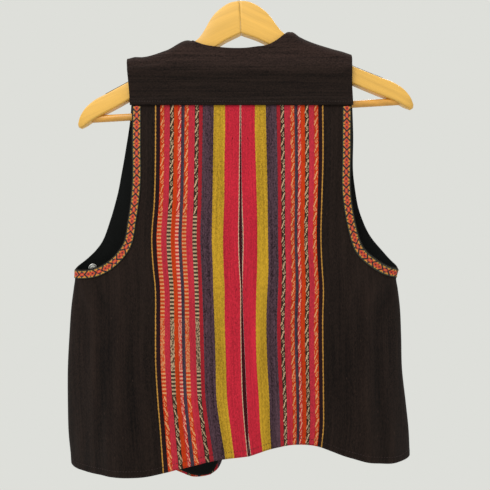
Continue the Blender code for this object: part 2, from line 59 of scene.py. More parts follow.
# Cloth walls and the gaps between layers, as in the solids; SEAM is how near a sewn edge
# comes to the seam that it shares with its neighbour
GAP = 0.3 * MM
SEAM = 0.04 * MM
PANEL = 1.6 * MM
YOKE = 1.8 * MM
YOKE_HEM = 0.8 * MM
LINING = 1.0 * MM
RIBBON = 1.0 * MM
RIBBON_WIDTH = 11.0 * MM
RIBBON_INSET = 1.2 * MM
LINING_INSET = 5.0 * MM
LINING_HEM_INSET = 2.6 * MM

# Where the yoke ends and how it turns over the shoulder
RIDGE_RADIUS = 12.5 * MM
YOKE_LOW = -197.5 * MM
YOKE_FRONT_DROP = 34.0 * MM

# Distances from a cloth edge at which a shell has its last rows
EDGE_STEPS = (0.25 * MM, 0.6 * MM, 1.1 * MM, 2.2 * MM)
# How far the even rows stay from those, as a share of the last step
EDGE_ROOM = 1.5
# An edge is rounded over this share of the wall's thickness, and this share of it is left
EDGE_REACH = 0.8
EDGE_LEFT = 0.12

# How finely the pieces are meshed
CURVE_SAMPLES = 900
ARM_SAMPLES = 241
HEM_SAMPLES = 200
BACK_SAMPLES = 90
ARM_ROWS = 81
SIDE_ROWS = 76
PANEL_COLUMNS = 112
LINING_FIRST_ROW = 4
RIBBON_ROWS = 96
RIBBON_COLUMNS = 13
SHOULDER_COLUMNS = 36
NECK_COLUMNS = 72

# Rough sizes by which the edge steps of panels and ribbons become shares
PANEL_WIDTH = 230.0 * MM
RIBBON_LENGTH = 300.0 * MM

# How far a turned-up hem stands out, and over what depth it starts
HEM_LIFT = 0.25 * MM
HEM_STEP = 1.2 * MM


def table(names, rows):
    """A short table in millimetres as named columns in metres."""
    columns = np.array(rows, dtype=float).T * MM
    return dict(zip(names.split(), columns))


# Sides of the body where its seams run, the centre back seam, and the half depths
BODY = table("z left right", [
    (-50, -215, 216), (-409, -215, 216.2), (-423, -215.2, 212.4), (-440, -217.4, 214.6),
    (-460, -220, 217), (-502, -223, 219), (-544, -225, 220),
    (-590, -225, 225), (-629, -224, 229), (-672, -220, 230), (-700, -219, 229)])
SEAM_LINE = table("z x", [
    (-185, 5), (-250, 6), (-350, 7), (-452, 8), (-556, 12), (-634, 15.5), (-700, 17)])
DEPTH = table("z back front", [
    (-95, 10.4, 10.8), (-140, 10.6, 11.2), (-195, 12.0, 12.5), (-280, 16.0, 18.0),
    (-410, 22.0, 24.0), (-550, 27.0, 28.0), (-700, 30.0, 32.0)])

# Soft folds: place, how far they stand out, half width and top
FOLDS_BACK = table("x out width top", [
    (-192, 4, 17, -430), (-146, 16, 50, -380), (-100, -4, 18, -520), (-25, -5, 32, -470),
    (83, -15, 58, -360), (168, 5, 16, -450), (200, 8, 30, -400)])
FOLDS_FRONT = table("x out width top", [
    (-150, 9, 30, -420), (-80, -7, 26, -400), (120, 8, 28, -430), (185, -6, 24, -450)])
FOLD_BOTTOM = -690.0 * MM
FOLD_EDGE = 0.25

# Creases on top of the folds: middle, half length, half width, height and lean
CREASES_BACK = table("x z long wide out lean", [
    (-187, -520, 95, 6.5, 1.0, 20), (-172, -575, 80, 7, -0.9, -30), (-152, -500, 110, 6, 0.9, 10),
    (-133, -610, 60, 8, -0.8, 40), (-118, -430, 45, 6, 0.5, -60), (-195, -455, 26, 6, 0.9, 420),
    (-178, -447, 30, 5, -0.8, 380), (-128, -300, 70, 7, 0.6, -20), (-60, -610, 50, 9, 1.0, 90),
    (-40, -640, 34, 6, -0.9, 60), (-88, -655, 30, 7, 0.9, 40), (24, -520, 90, 10, 0.6, -10),
    (60, -615, 45, 8, 0.8, -70), (132, -560, 100, 8, -0.9, 15), (171, -540, 115, 6.5, 1.1, -15),
    (186, -600, 70, 6, -0.8, 20), (152, -440, 40, 6, 0.7, -260), (178, -446, 26, 6, 0.9, -400),
    (196, -452, 22, 5, -0.8, -430), (140, -290, 70, 7, 0.5, 25), (205, -640, 34, 7, 0.8, 10),
    (-205, -640, 38, 7, 0.8, -20), (95, -330, 120, 14, 0.5, 8), (-70, -330, 120, 14, 0.5, -12)])
CREASES_FRONT = table("x z long wide out lean", [
    (-185, -500, 90, 7, 1.1, 30), (-160, -590, 70, 8, -1.0, -40), (-125, -520, 110, 7, 1.0, 20),
    (-95, -620, 55, 8, 0.9, 50), (-70, -430, 80, 9, -0.8, 30), (-160, -300, 45, 6, 0.8, 60),
    (-140, -250, 40, 6, -0.7, 40), (-190, -447, 30, 6, 0.9, 380), (-50, -560, 90, 9, 0.8, 15),
    (180, -520, 100, 7, 1.1, -25), (155, -600, 70, 8, -1.0, 30), (120, -540, 110, 8, 1.0, -20),
    (90, -630, 50, 8, 0.9, -40), (75, -440, 80, 9, -0.8, -25), (165, -310, 45, 6, 0.8, -60),
    (145, -255, 40, 6, -0.7, -45), (190, -447, 28, 6, 0.9, -390), (60, -570, 80, 9, 0.8, -15)])

# Creases grow from nothing at the side seam, to their full height at 1 part in this many
CREASE_GROWTH = 12

# How far the free front edges swing out at the hem
SWING_LEFT = 4.0 * MM
SWING_RIGHT = 95.0 * MM
SWING_TOP = -260.0 * MM
SWING_BEND = 1.6

# Where the section goes from flat at the shoulders to round at the side seams
FLAT_ABOVE = -200.0 * MM
ROUND_BELOW = -398.0 * MM
ROUNDNESS = 2.5

# Armhole edges from the shoulder down to the side seam
PIT = -412.5 * MM
ARM_BACK_LEFT = table("x z", [
    (-138, -186), (-137.6, -255), (-137.5, -301), (-142.8, -348), (-149.5, -380),
    (-162.5, -397), (-183, -410), (-206, -413.5)])
ARM_BACK_RIGHT = table("x z", [
    (151.5, -186), (150.7, -255), (150.8, -320), (157.5, -358), (165.5, -382),
    (185, -400), (203.5, -409.5)])
ARM_FRONT_LEFT = table("x z", [
    (-141.5, -150), (-144, -210), (-151.7, -257), (-163, -314), (-172, -347),
    (-185, -380), (-204, -401)])
ARM_FRONT_RIGHT = table("x z", [
    (153.5, -148), (157.5, -230), (158.8, -292), (167, -335), (181, -368),
    (196.5, -388), (207.5, -401)])

# Neck and centre front edges, from the shoulder to the rounded lower corner
FRONT_EDGE_LEFT = table("x z", [
    (-61, -132), (-58, -180), (-50, -250), (-40, -330), (-31, -400), (-25, -470),
    (-22, -560), (-20.5, -660), (-21, -680), (-27, -691.8), (-37, -699.5)])
FRONT_EDGE_RIGHT = table("x z", [
    (73, -121), (71, -180), (65, -250), (57, -330), (50, -400), (46, -470),
    (44, -560), (43, -645), (45, -666), (52, -675), (58, -679)])

# Hems, from the centre outwards
HEM_BACK_LEFT = table("x z", [
    (15, -655), (-16, -659), (-38, -662.6), (-76, -670.4), (-103, -676.6),
    (-136, -677.2), (-172, -676.4), (-198, -675.4), (-212, -673.8), (-219, -669)])
HEM_BACK_RIGHT = table("x z", [
    (15, -655), (46, -647), (82, -643.2), (108, -645.6), (124, -650.8), (140, -656.2),
    (156, -659.4), (183, -663.3), (204, -665.2), (217, -664), (226, -659.5)])
HEM_FRONT_LEFT = table("x z", [
    (-37, -699.5), (-46, -701.3), (-61, -700.8), (-76, -694), (-92, -687), (-130, -680),
    (-175, -676), (-205, -672.5), (-217, -669)])
HEM_FRONT_RIGHT = table("x z", [
    (58, -679), (64, -677), (90, -671), (125, -668.5), (165, -665), (205, -662.5),
    (217, -659.5)])

# Top of the yoke as it is seen from behind, and the share of a full curl over the shoulder
YOKE_TOP = table("x z", [
    (-144, -133), (-138, -131.2), (-126, -131), (-93.5, -121.9), (-61, -109.3),
    (-51, -114.8), (-26, -120.4), (-3.5, -122.1), (12, -121.8), (25, -120.2),
    (41, -117.6), (54, -110.5), (63.5, -103), (72, -97.7), (84, -104.6),
    (125, -119.7), (144, -125), (151, -127.5)])
YOKE_CURL = table("x curl", [
    (-144, 1), (-61, 1), (-57.8, 0.54), (-47, 0), (56, 0), (65, 0.26), (72, 1), (151, 1)])
YOKE_LEFT = table("z x", [(-205, -140), (-196, -140.3), (-153, -143.8), (-120, -146.6)])
YOKE_RIGHT = table("z x", [(-205, 153.2), (-196, 153), (-167, 151.8), (-120, 152.4)])
NECK_LEFT = -61.0 * MM
NECK_RIGHT = 72.0 * MM

# Rows of the yoke as shares of its way up the back, and then down to its front edge
YOKE_BEHIND = np.concatenate((
    (0.0, 0.004, 0.01, 0.018, 0.03, 0.05, 0.08, 0.1, 0.115, 0.13), np.linspace(0.145, 1.0, 62)))
YOKE_BEFORE = np.concatenate((np.linspace(0.0, 0.96, 44)[1:], (0.975, 0.985, 0.993, 1.0)))
# The turned-in hem's share of the way up the back, and the share in which it steps down
YOKE_HEM_SHARE = 0.125
YOKE_HEM_STEP = 0.02
# Share of the yoke's width beyond which its first and last even columns lie
YOKE_END = 0.02
# The soft fold across the yoke's back: its height, half width and distance from the top
YOKE_FOLD_Z = -149.0 * MM
YOKE_FOLD_WIDTH = 12.0 * MM
YOKE_FOLD_START = 6.0 * MM
# Slack for comparing shares of the yoke's width
TINY = 1e-6

# Where lines of the striped cloth run on the back, from the photo: the gold line, the
# yellow stripe's two edges and the cream line of each half
RUN_LEFT = table("z gold yellow_out yellow_in cream", [
    (-200, -106.2, -29.8, -15.1, 4.7), (-224, -106.1, -30.1, -14.9, 4.4),
    (-270, -106, -30.7, -15.6, 3.9), (-322, -107, -31.3, -15.9, 3.5),
    (-375, -110.2, -32, -17.3, 2.9), (-414, -107.6, -30.6, -16.4, 4.2),
    (-433, -105.4, -30.2, -15.5, 5.4), (-479, -104.4, -28.5, -15.2, 5.7),
    (-531, -103.7, -26.9, -13.5, 6.5), (-584, -100.5, -25.3, -11.7, 8.2),
    (-623, -97.3, -20, -7, 11.3), (-649, -95.5, -15.6, -3.6, 13.9),
    (-676, -93.5, -11.7, 0.3, 15.9)])
RUN_RIGHT = table("z gold yellow_out yellow_in cream", [
    (-200, 112.7, 38, 23.8, 5.2), (-224, 112.8, 38.4, 23.6, 5.4),
    (-270, 112.6, 39.3, 24.6, 5.3), (-322, 110.9, 40.3, 26.1, 6.5),
    (-375, 109.5, 40.7, 26.7, 8.3), (-414, 111.2, 41.1, 26.3, 7.5),
    (-433, 112.5, 40.2, 25.6, 7.1), (-479, 111.8, 38.5, 24.8, 7.1),
    (-531, 112.4, 39.6, 25.6, 8.5), (-584, 113.1, 42.4, 28.8, 11.3),
    (-623, 112.9, 43.5, 30.7, 14.5), (-649, 110.2, 45.1, 33.5, 17.7),
    (-676, 107.8, 47.2, 36.1, 20.5)])

# The tables of each side, -1 for the wearer's left and 1 for the right, and back or front
HAND = {-1: "left", 1: "right"}
ARMHOLES = {
    (-1, False): ARM_BACK_LEFT, (1, False): ARM_BACK_RIGHT,
    (-1, True): ARM_FRONT_LEFT, (1, True): ARM_FRONT_RIGHT}
HEMS = {
    (-1, False): HEM_BACK_LEFT, (1, False): HEM_BACK_RIGHT,
    (-1, True): HEM_FRONT_LEFT, (1, True): HEM_FRONT_RIGHT}
FRONT_EDGES = {-1: FRONT_EDGE_LEFT, 1: FRONT_EDGE_RIGHT}
RUNS = {-1: RUN_LEFT, 1: RUN_RIGHT}

# Stripes from the centre seam outwards, in warp threads, with the name of their colour.
# A chain stripe has a second yarn, which makes its hooks or bars.
STRIPES = (
    (1, "cream", None), (22, "crimson", None), (17, "yellow", None), (16, "purple", None),
    (6, "dark_red", None), (6, "brown", "ecru"), (9, "pink", None), (6, "orange", "peach"),
    (5, "violet", None), (5, "red", "rose"), (6, "orange", None), (6, "brown", "ecru"),
    (8, "pink", None), (6, "orange", "peach"), (6, "maroon", None), (2, "gold", None))
STRIPE_STARTS = [sum(width for width, _, _ in STRIPES[:k]) for k in range(len(STRIPES) + 1)]
CREAM_MIDDLE = 0.5
YELLOW_IN = STRIPE_STARTS[2]
YELLOW_OUT = STRIPE_STARTS[3]
GOLD_MIDDLE = STRIPE_STARTS[15] + 1

# The thread with which a front's free edge starts: its inner pink stripe
FRONT_FIRST = float(STRIPE_STARTS[6])

# Colours as they are seen, 0 to 255, and how much each yarn is flecked
YARNS = {
    "seam": ((62, 12, 18), 0.25),
    "cream": ((206, 168, 140), 0.30),
    "crimson": ((194, 38, 56), 0.34),
    "yellow": ((184, 144, 38), 0.44),
    "purple": ((74, 53, 62), 0.85),
    "dark_red": ((158, 32, 42), 0.30),
    "brown": ((50, 40, 28), 0.40),
    "pink": ((185, 44, 59), 0.34),
    "orange": ((191, 56, 14), 0.30),
    "violet": ((64, 50, 62), 0.60),
    "red": ((186, 40, 38), 0.30),
    "maroon": ((36, 16, 20), 0.30),
    "gold": ((192, 140, 62), 0.45),
    "black": ((31, 22, 18), 0.70),
    "rose": ((224, 160, 134), 0.30),
    "peach": ((216, 148, 100), 0.30),
    "ecru": ((194, 164, 130), 0.35),
}

# The other pieces' colours as they are seen, 0 to 255
COLOURS = {
    # shoulder: a lighter brown painted on the yoke's top, a painted highlight from the light above
    "shoulder": (47, 34, 30), "lining": (9, 11, 10), "hem_thread": (44, 22, 22),
    # bar: the bar's wood, darker than the arms' wood as painted shade where the vest shades the bar
    "dark_thread": (58, 44, 42), "wood": (234, 181, 80), "bar": (222, 160, 66),
    "steel": (196, 195, 190), "rubber": (30, 29, 28), "floor": (206, 207, 203),
    "wall": (222, 223, 218)}

# Fixed values of each kind of finish
SHADERS = {
    "wool": {"Roughness": 0.92, "Sheen Weight": 0.04, "Sheen Roughness": 0.5,
             "Specular IOR Level": 0.12},
    "cotton": {"Roughness": 0.75, "Sheen Weight": 0.02, "Specular IOR Level": 0.12},
    "ribbon": {"Roughness": 0.68, "Sheen Weight": 0.05},
    "thread": {"Roughness": 0.6},
    "varnish": {"Roughness": 0.42, "Coat Weight": 0.22, "Coat Roughness": 0.25},
    "steel": {"Roughness": 0.28, "Metallic": 1.0},
    "rubber": {"Roughness": 0.7},
    "paint": {"Roughness": 0.8},
}

# How much each kind of unevenness lightens a finish, over a base level; height is the weave's relief,
# which gives painted shade in the hollows between threads
TINTS = {
    "handweave": {"base": 0.84, "height": 0.3, "float": 0.9, "drift": 1.5, "streak": 1.6,
                  # crease: painted light and shade, lighter on raised creases and darker in their
                  # troughs
                  "speckle": 2.2, "crease": 0.55, "lint": 1.5, "knot": -0.5},
    "yoke": {"base": 0.84, "height": 0.32, "float": 0.5, "drift": 1.0, "streak": 1.5,
             "speckle": 1.6},
    "cotton": {"base": 0.85, "height": 0.25, "drift": 0.5},
    "ribbon": {"base": 0.86, "height": 0.2, "float": 0.25},
    "thread": {"base": 1.0, "speckle": 0.6},
    "varnish": {"base": 1.0, "broad": 0.5, "fine": 0.2},
    "steel": {"base": 0.85, "scuff": 0.3},
    "rubber": {"base": 0.8, "speckle": 0.4},
    "paint": {"base": 0.98, "drift": 0.04},
}

# Distance and strength of the relief of each kind of finish
BUMPS = {
    "wool": (0.32 * MM, 0.7), "cotton": (0.3 * MM, 0.6), "ribbon": (0.22 * MM, 0.8),
    "varnish": (0.05 * MM, 0.5), "steel": (0.04 * MM, 0.4), "rubber": (0.15 * MM, 0.6)}

# Noise over the cloth: its stretch across and down, scale and detail
CLOTH_NOISE = {
    # drift and streak on the handweave: tone that wanders along the threads, partly the yarn's own and
    # partly painted light standing in for soft folds
    "drift": (3.0, 0.35, 22.0, 3.0),
    "streak": (1.0, 22.0, 0.34, 1.0),
    "yoke_drift": (0.3, 2.0, 60.0, 2.0),
    "yoke_streak": (20.0, 1.0, 0.36, 1.0),
    "wrinkle": (1.0, 0.5, 70.0, 3.0),
}

# Scales of the noises that aren't stretched
WANDER_SCALE = 260.0
SPECKLE_SCALE = 520.0
FUZZ_SCALE = 2400.0
COTTON_SCALE = 60.0
THREAD_SCALE = 900.0
BROAD_SCALE = 140.0
FINE_SCALE = 900.0
SCUFF_SCALE = 420.0
RUBBER_SCALE = 1500.0
FLOOR_SCALE = 6.0

# The weave: picks under each warp float, a float's height at its ends, and how much of the
# relief is fuzz
FLOAT_PICKS = 2
FLOAT_END = 0.35
HANDWEAVE_FUZZ = 0.25
YOKE_FUZZ = 0.3
COTTON_THREAD = 0.45 * MM
COTTON_RELIEF = 0.15
WRINKLE_RELIEF = 4.0
ROW_RELIEF = 0.6

# How far the stripes and chains wander across, in threads, and the hooks and bars along
STRIPE_WANDER = 0.66
CHAIN_WANDER = 0.55
HOOK_WANDER = 1.32 * MM
BAR_WANDER = 0.77 * MM

# Threads before the centre seam at which the stripes' colour ramps start, threads that they
# cover, and threads by which a light yarn's stretch of the ramp starts early
RAMP_LEAD = 8.0
RAMP_THREADS = 140.0
LIGHT_LEAD = 2

# Light bits of lint on the black fields and dark knots, by the cells that have them
LINT_SEED = 31.0
LINT_ABOVE = 0.9992
KNOT_SEED = 17.0
KNOT_ABOVE = 0.9988

# The yoke's colour is browner and lighter above this height, over this fade: a painted highlight on the
# shoulders' top, where light from above falls
SHOULDER_HIGHLIGHT_Z = -158.0 * MM
SHOULDER_HIGHLIGHT_FADE = 22.0 * MM

# Wood grain falls along an arm as the arm does, and is long along it
GRAIN_FALL = 0.47
BROAD_STRETCH = 0.06
FINE_STRETCH = 0.04

# Steel's roughness where it is least, and what scuffs add; the rubber's ribs and specks
LEAST_ROUGHNESS = 0.16
SCUFF_ROUGHNESS = 0.25
RIB_WIDTH = 1.1 * MM
RUBBER_SPECK = 0.3

# The hook figure of the chain stripes, one letter for each thread and pick; # is light yarn
CHAIN_CHART = (
    "....##",
    "...##.",
    "...##.",
    "..##..",
    "..##..",
    ".##...",
    ".##...",
    "##....",
    "#...#.",
    "...#..",
    "..#.#.",
    ".#..#.",
    "..##..",
    "......")
CHAIN_REPEAT = 18.0 * MM
CHAIN_START = -4.7 * MM
BAR_REPEAT = 5.0 * MM
SPECK = 1.9 * MM

# Share of light yarn in the bars, in the specks, in the figures' dim floats and where single
# floats are lit, below and above a split
BARS = {"split": 0.54, "dark": 0.04, "light": 0.94}
SPECKS = {"split": 0.46, "dark": 0.10, "light": 0.76}
DIM_FLOATS = {"split": 0.14, "dark": 0.25, "light": 1.0}
LIT_FLOATS = {"split": 0.93, "dark": 0.0, "light": 0.5}

# How far each stripe's figures are behind those of the stripe before it, in repeats
STAGGER = 0.07

# Depths below the yoke between which the left back has bars, specks and bars again
ZONES = (144 * MM, 279 * MM, 345 * MM, 378 * MM)

# The ribbon's figure from the middle of a medallion to the middle of the cross between two,
# and from the ribbon's middle to its edge; each letter is a yarn of RIBBON_YARNS
RIBBON_CHART = (
    "ORRKGE",
    "RROYYE",
    "DROOYE",
    "DROOKK",
    "RROKKK",
    "ROKKKE",
    "OKKKGE",
    "KKKOYE",
    "KKOYYE",
    "KROYGE",
    "RRKOYE",
    "ORDDYE",
    "ORDDKE")
RIBBON_REPEAT = 24.8 * MM
RIBBON_SPREAD = 1.05
RIBBON_YARNS = {
    "R": (188, 38, 28), "O": (208, 94, 34), "Y": (204, 148, 46), "G": (122, 106, 50),
    "K": (8, 5, 6), "D": (42, 32, 42), "E": (36, 42, 24)}

# One arm of the hanger: its top and lower edges and its thickness, from the centre out
ARM = table("top_x top_z low_x low_z thick", [
    (0, -57.5, 0, -100.5, 15), (13, -59.5, 13, -105.8, 15), (25, -66, 24, -110.8, 15),
    (34.5, -74, 34, -116.7, 15), (41.5, -83, 45, -123.5, 15), (48, -93.5, 56, -129.2, 15),
    (56, -103.5, 68, -135.6, 15), (68, -111.5, 82, -143, 15), (108, -133, 112, -158.7, 15),
    (147, -153.5, 148, -177.7, 15), (182, -170, 177, -191.8, 15), (200, -178.5, 194, -199.6, 15),
    (212, -188, 205, -205.4, 15), (220, -199, 213, -210.6, 13), (223.5, -207.5, 219.5, -214, 8)])
HANGER_TILT = math.radians(3.3)
HANGER_CORNER = 2.6 * MM
MOST_CORNER = 0.45
CORNER_POINTS = 6
ARM_RINGS = 91
# An arm's rounded end: shares of its last ring, and how far it reaches out and down
ARM_END_SHARES = (0.97, 0.85, 0.6, 0.25)
ARM_END_OUT = 2.0 * MM
ARM_END_DROP = 1.0 * MM
CROWN_TOP = -57.5 * MM
BAR_RADIUS = 4.7 * MM
BAR_Z = -202.0 * MM
BAR_HALF = 205.0 * MM
BAR_RINGS = 60
BAR_SIDES = 28
WIRE_RADIUS = 1.8 * MM
HOOK_RADIUS = 20.0 * MM
SHANK_DEPTH = 24.0 * MM
# The hook's bend above its straight neck, its turn over the rail in degrees with the step,
# and the shares of the wire's radius at its tip
HOOK_NECK = 7.0 * MM
HOOK_BEND = table("x rise", [(0, 0), (0.5, 4), (4, 8.4)])
HOOK_TURN = (-55, 196, 10)
HOOK_TIP = (0.98, 0.86, 0.62, 0.3)
HOOK_RINGS = 140
SHANK_RINGS = 12
WIRE_SIDES = 20
GRIP_WIDTH = 6.6 * MM
GRIP_THICKNESS = 1.2 * MM
GRIP_START = 100.0 * MM
GRIP_END = 184.0 * MM
GRIP_ROWS = 60
GRIP_COLUMNS = 13
# Share of a strip's thickness at its edges, and how square its crown is
GRIP_EDGE = 0.35
GRIP_SQUARENESS = 6

# Snap stud on the wearer's left front
STUD_RADIUS = 6.0 * MM
STUD_THICKNESS = 1.6 * MM
STUD_CLEARANCE = 2.2 * MM
STUD_X = -195.3 * MM
STUD_Z = -412.0 * MM
STUD_SIDES = 48
# Shares of the stud's thickness and of its radius, from its foot over the rim to the middle
STUD_PROFILE = (
    (0.0, 0.90), (0.08, 0.96), (0.3, 1.0), (0.55, 0.99), (0.75, 0.94), (0.86, 0.86),
    (0.84, 0.76), (0.74, 0.68), (0.76, 0.58), (0.92, 0.5), (1.0, 0.4), (1.0, 0.12))

# Where the rows of stitches lie: distances from the hem and from the yoke's edge, and shares
# of the ribbon's width
HEM_ROWS = (1.8 * MM, 8.4 * MM)
YOKE_ROW = 4.8 * MM
RIBBON_SEWN = (0.1, 0.9)
# First and last share of the hem and the yoke that is sewn, with the points between them,
# and the rows of the ribbon that are
HEM_SEWN = (0.012, 0.985, 160)
YOKE_SEWN = (0.01, 0.99, 200)
SEWN_ROWS = slice(3, -2)
# Share of the yoke's way up by which its slope near the hem is measured
YOKE_PROBE = 0.1
# Spacing and thread radius of the stitches, and the length of a ribbon's
HEM_STITCH = (3.6 * MM, 0.28 * MM)
YOKE_STITCH = (3.4 * MM, 0.24 * MM)
FINE_STITCH = (2.6 * MM, 0.15 * MM)
RIBBON_STITCH = 1.5 * MM
# How high the thread's middle lies over the cloth
HEM_THREAD_LIFT = 0.32 * MM
RIBBON_THREAD_LIFT = 0.05 * MM
# How much single stitches differ in length and thickness
STITCH_LEAST = (0.85, 0.9, 0.9)
STITCH_MOST = (1.1, 1.1, 1.1)
STITCH_SEED = 7

# The camera's place, from the photo's perspective, and the floor under the hanging vest
CAMERA_PLACE = (10.94 * MM, -820.0 * MM, -381.1 * MM)
VIEW_WIDTH = 653.66 * MM
SENSOR = 36.0
FLOOR_Z = -1.75
FLOOR_RADIUS = 2.2
FLOOR_SIDES = 96

# Lamps: name, place, size in metres and power in watts, all aimed at one point
LAMPS = (
    ("key_lamp", (-0.7, -1.3, 1.3), 1.1, 22.0),
    ("back_lamp", (0.8, 1.5, 1.2), 1.2, 18.0))
LAMP_AIM = (0.0, 0.0, -0.38)


def seen(colour):
    """A colour as it is seen, 0 to 255, as linear light with full alpha."""
    linear = [((c / 255 + 0.055) / 1.055) ** 2.4 if c > 10 else c / 255 / 12.92 for c in colour]
    return (*linear, 1.0)


# Tones of the light from all round, from straight below to straight above
WORLD_TONES = (
    (0.0, (0.46, 0.46, 0.45, 1.0)), (0.30, seen(COLOURS["wall"])),
    (0.70, seen(COLOURS["wall"])), (1.0, (1.0, 1.0, 1.0, 1.0)))


def curve(at, knots, values):
    """A smooth curve through knots, read at one place or many."""
    if knots[0] > knots[-1]:
        knots = knots[::-1]
        values = values[::-1]
    slopes = np.gradient(values, knots)
    at = np.clip(at, knots[0], knots[-1])
    i = np.clip(np.searchsorted(knots, at) - 1, 0, len(knots) - 2)
    step = knots[i + 1] - knots[i]
    t = (at - knots[i]) / step
    start = (2 * t ** 3 - 3 * t ** 2 + 1) * values[i] + (t ** 3 - 2 * t ** 2 + t) * step * slopes[i]
    end = (3 * t ** 2 - 2 * t ** 3) * values[i + 1] + (t ** 3 - t ** 2) * step * slopes[i + 1]
    return start + end


def ramp(value):
    """A soft step from 0 to 1."""
    value = np.clip(value, 0.0, 1.0)
    return value * value * (3 - 2 * value)


def lengths_along(points):
    """Distance of each point of a line from its first one."""
    steps = np.linalg.norm(np.diff(points, axis=0), axis=1)
    return np.concatenate(([0.0], np.cumsum(steps)))


def resample(points, shares):
    """The smooth curve through points, read at shares of its length."""
    knots = lengths_along(points)
    fine = np.linspace(0.0, knots[-1], CURVE_SAMPLES)
    dense = np.column_stack([curve(fine, knots, points[:, k]) for k in range(points.shape[1])])
    lengths = lengths_along(dense)
    at = np.asarray(shares) * lengths[-1]
    return np.column_stack([np.interp(at, lengths, dense[:, k]) for k in range(points.shape[1])])


def shares_with_edges(count, length, start=True, end=True):
    """Shares from 0 to 1, even in the middle and close together at an edge that is cut."""
    shares = np.linspace(0.0, 1.0, count)
    first = np.array(EDGE_STEPS) / length
    if start:
        shares = np.concatenate(([0.0], first, shares[shares > first[-1] * EDGE_ROOM]))
    if end:
        shares = np.concatenate((shares[shares < 1 - first[-1] * EDGE_ROOM], 1 - first[::-1], [1.0]))
    return shares


def offset(edge, distance):
    """An edge of cloth points moved sideways, to its left when distance is positive."""
    along = np.gradient(edge, axis=0)
    along /= np.linalg.norm(along, axis=1)[:, None]
    return edge + distance * np.column_stack((-along[:, 1], along[:, 0]))


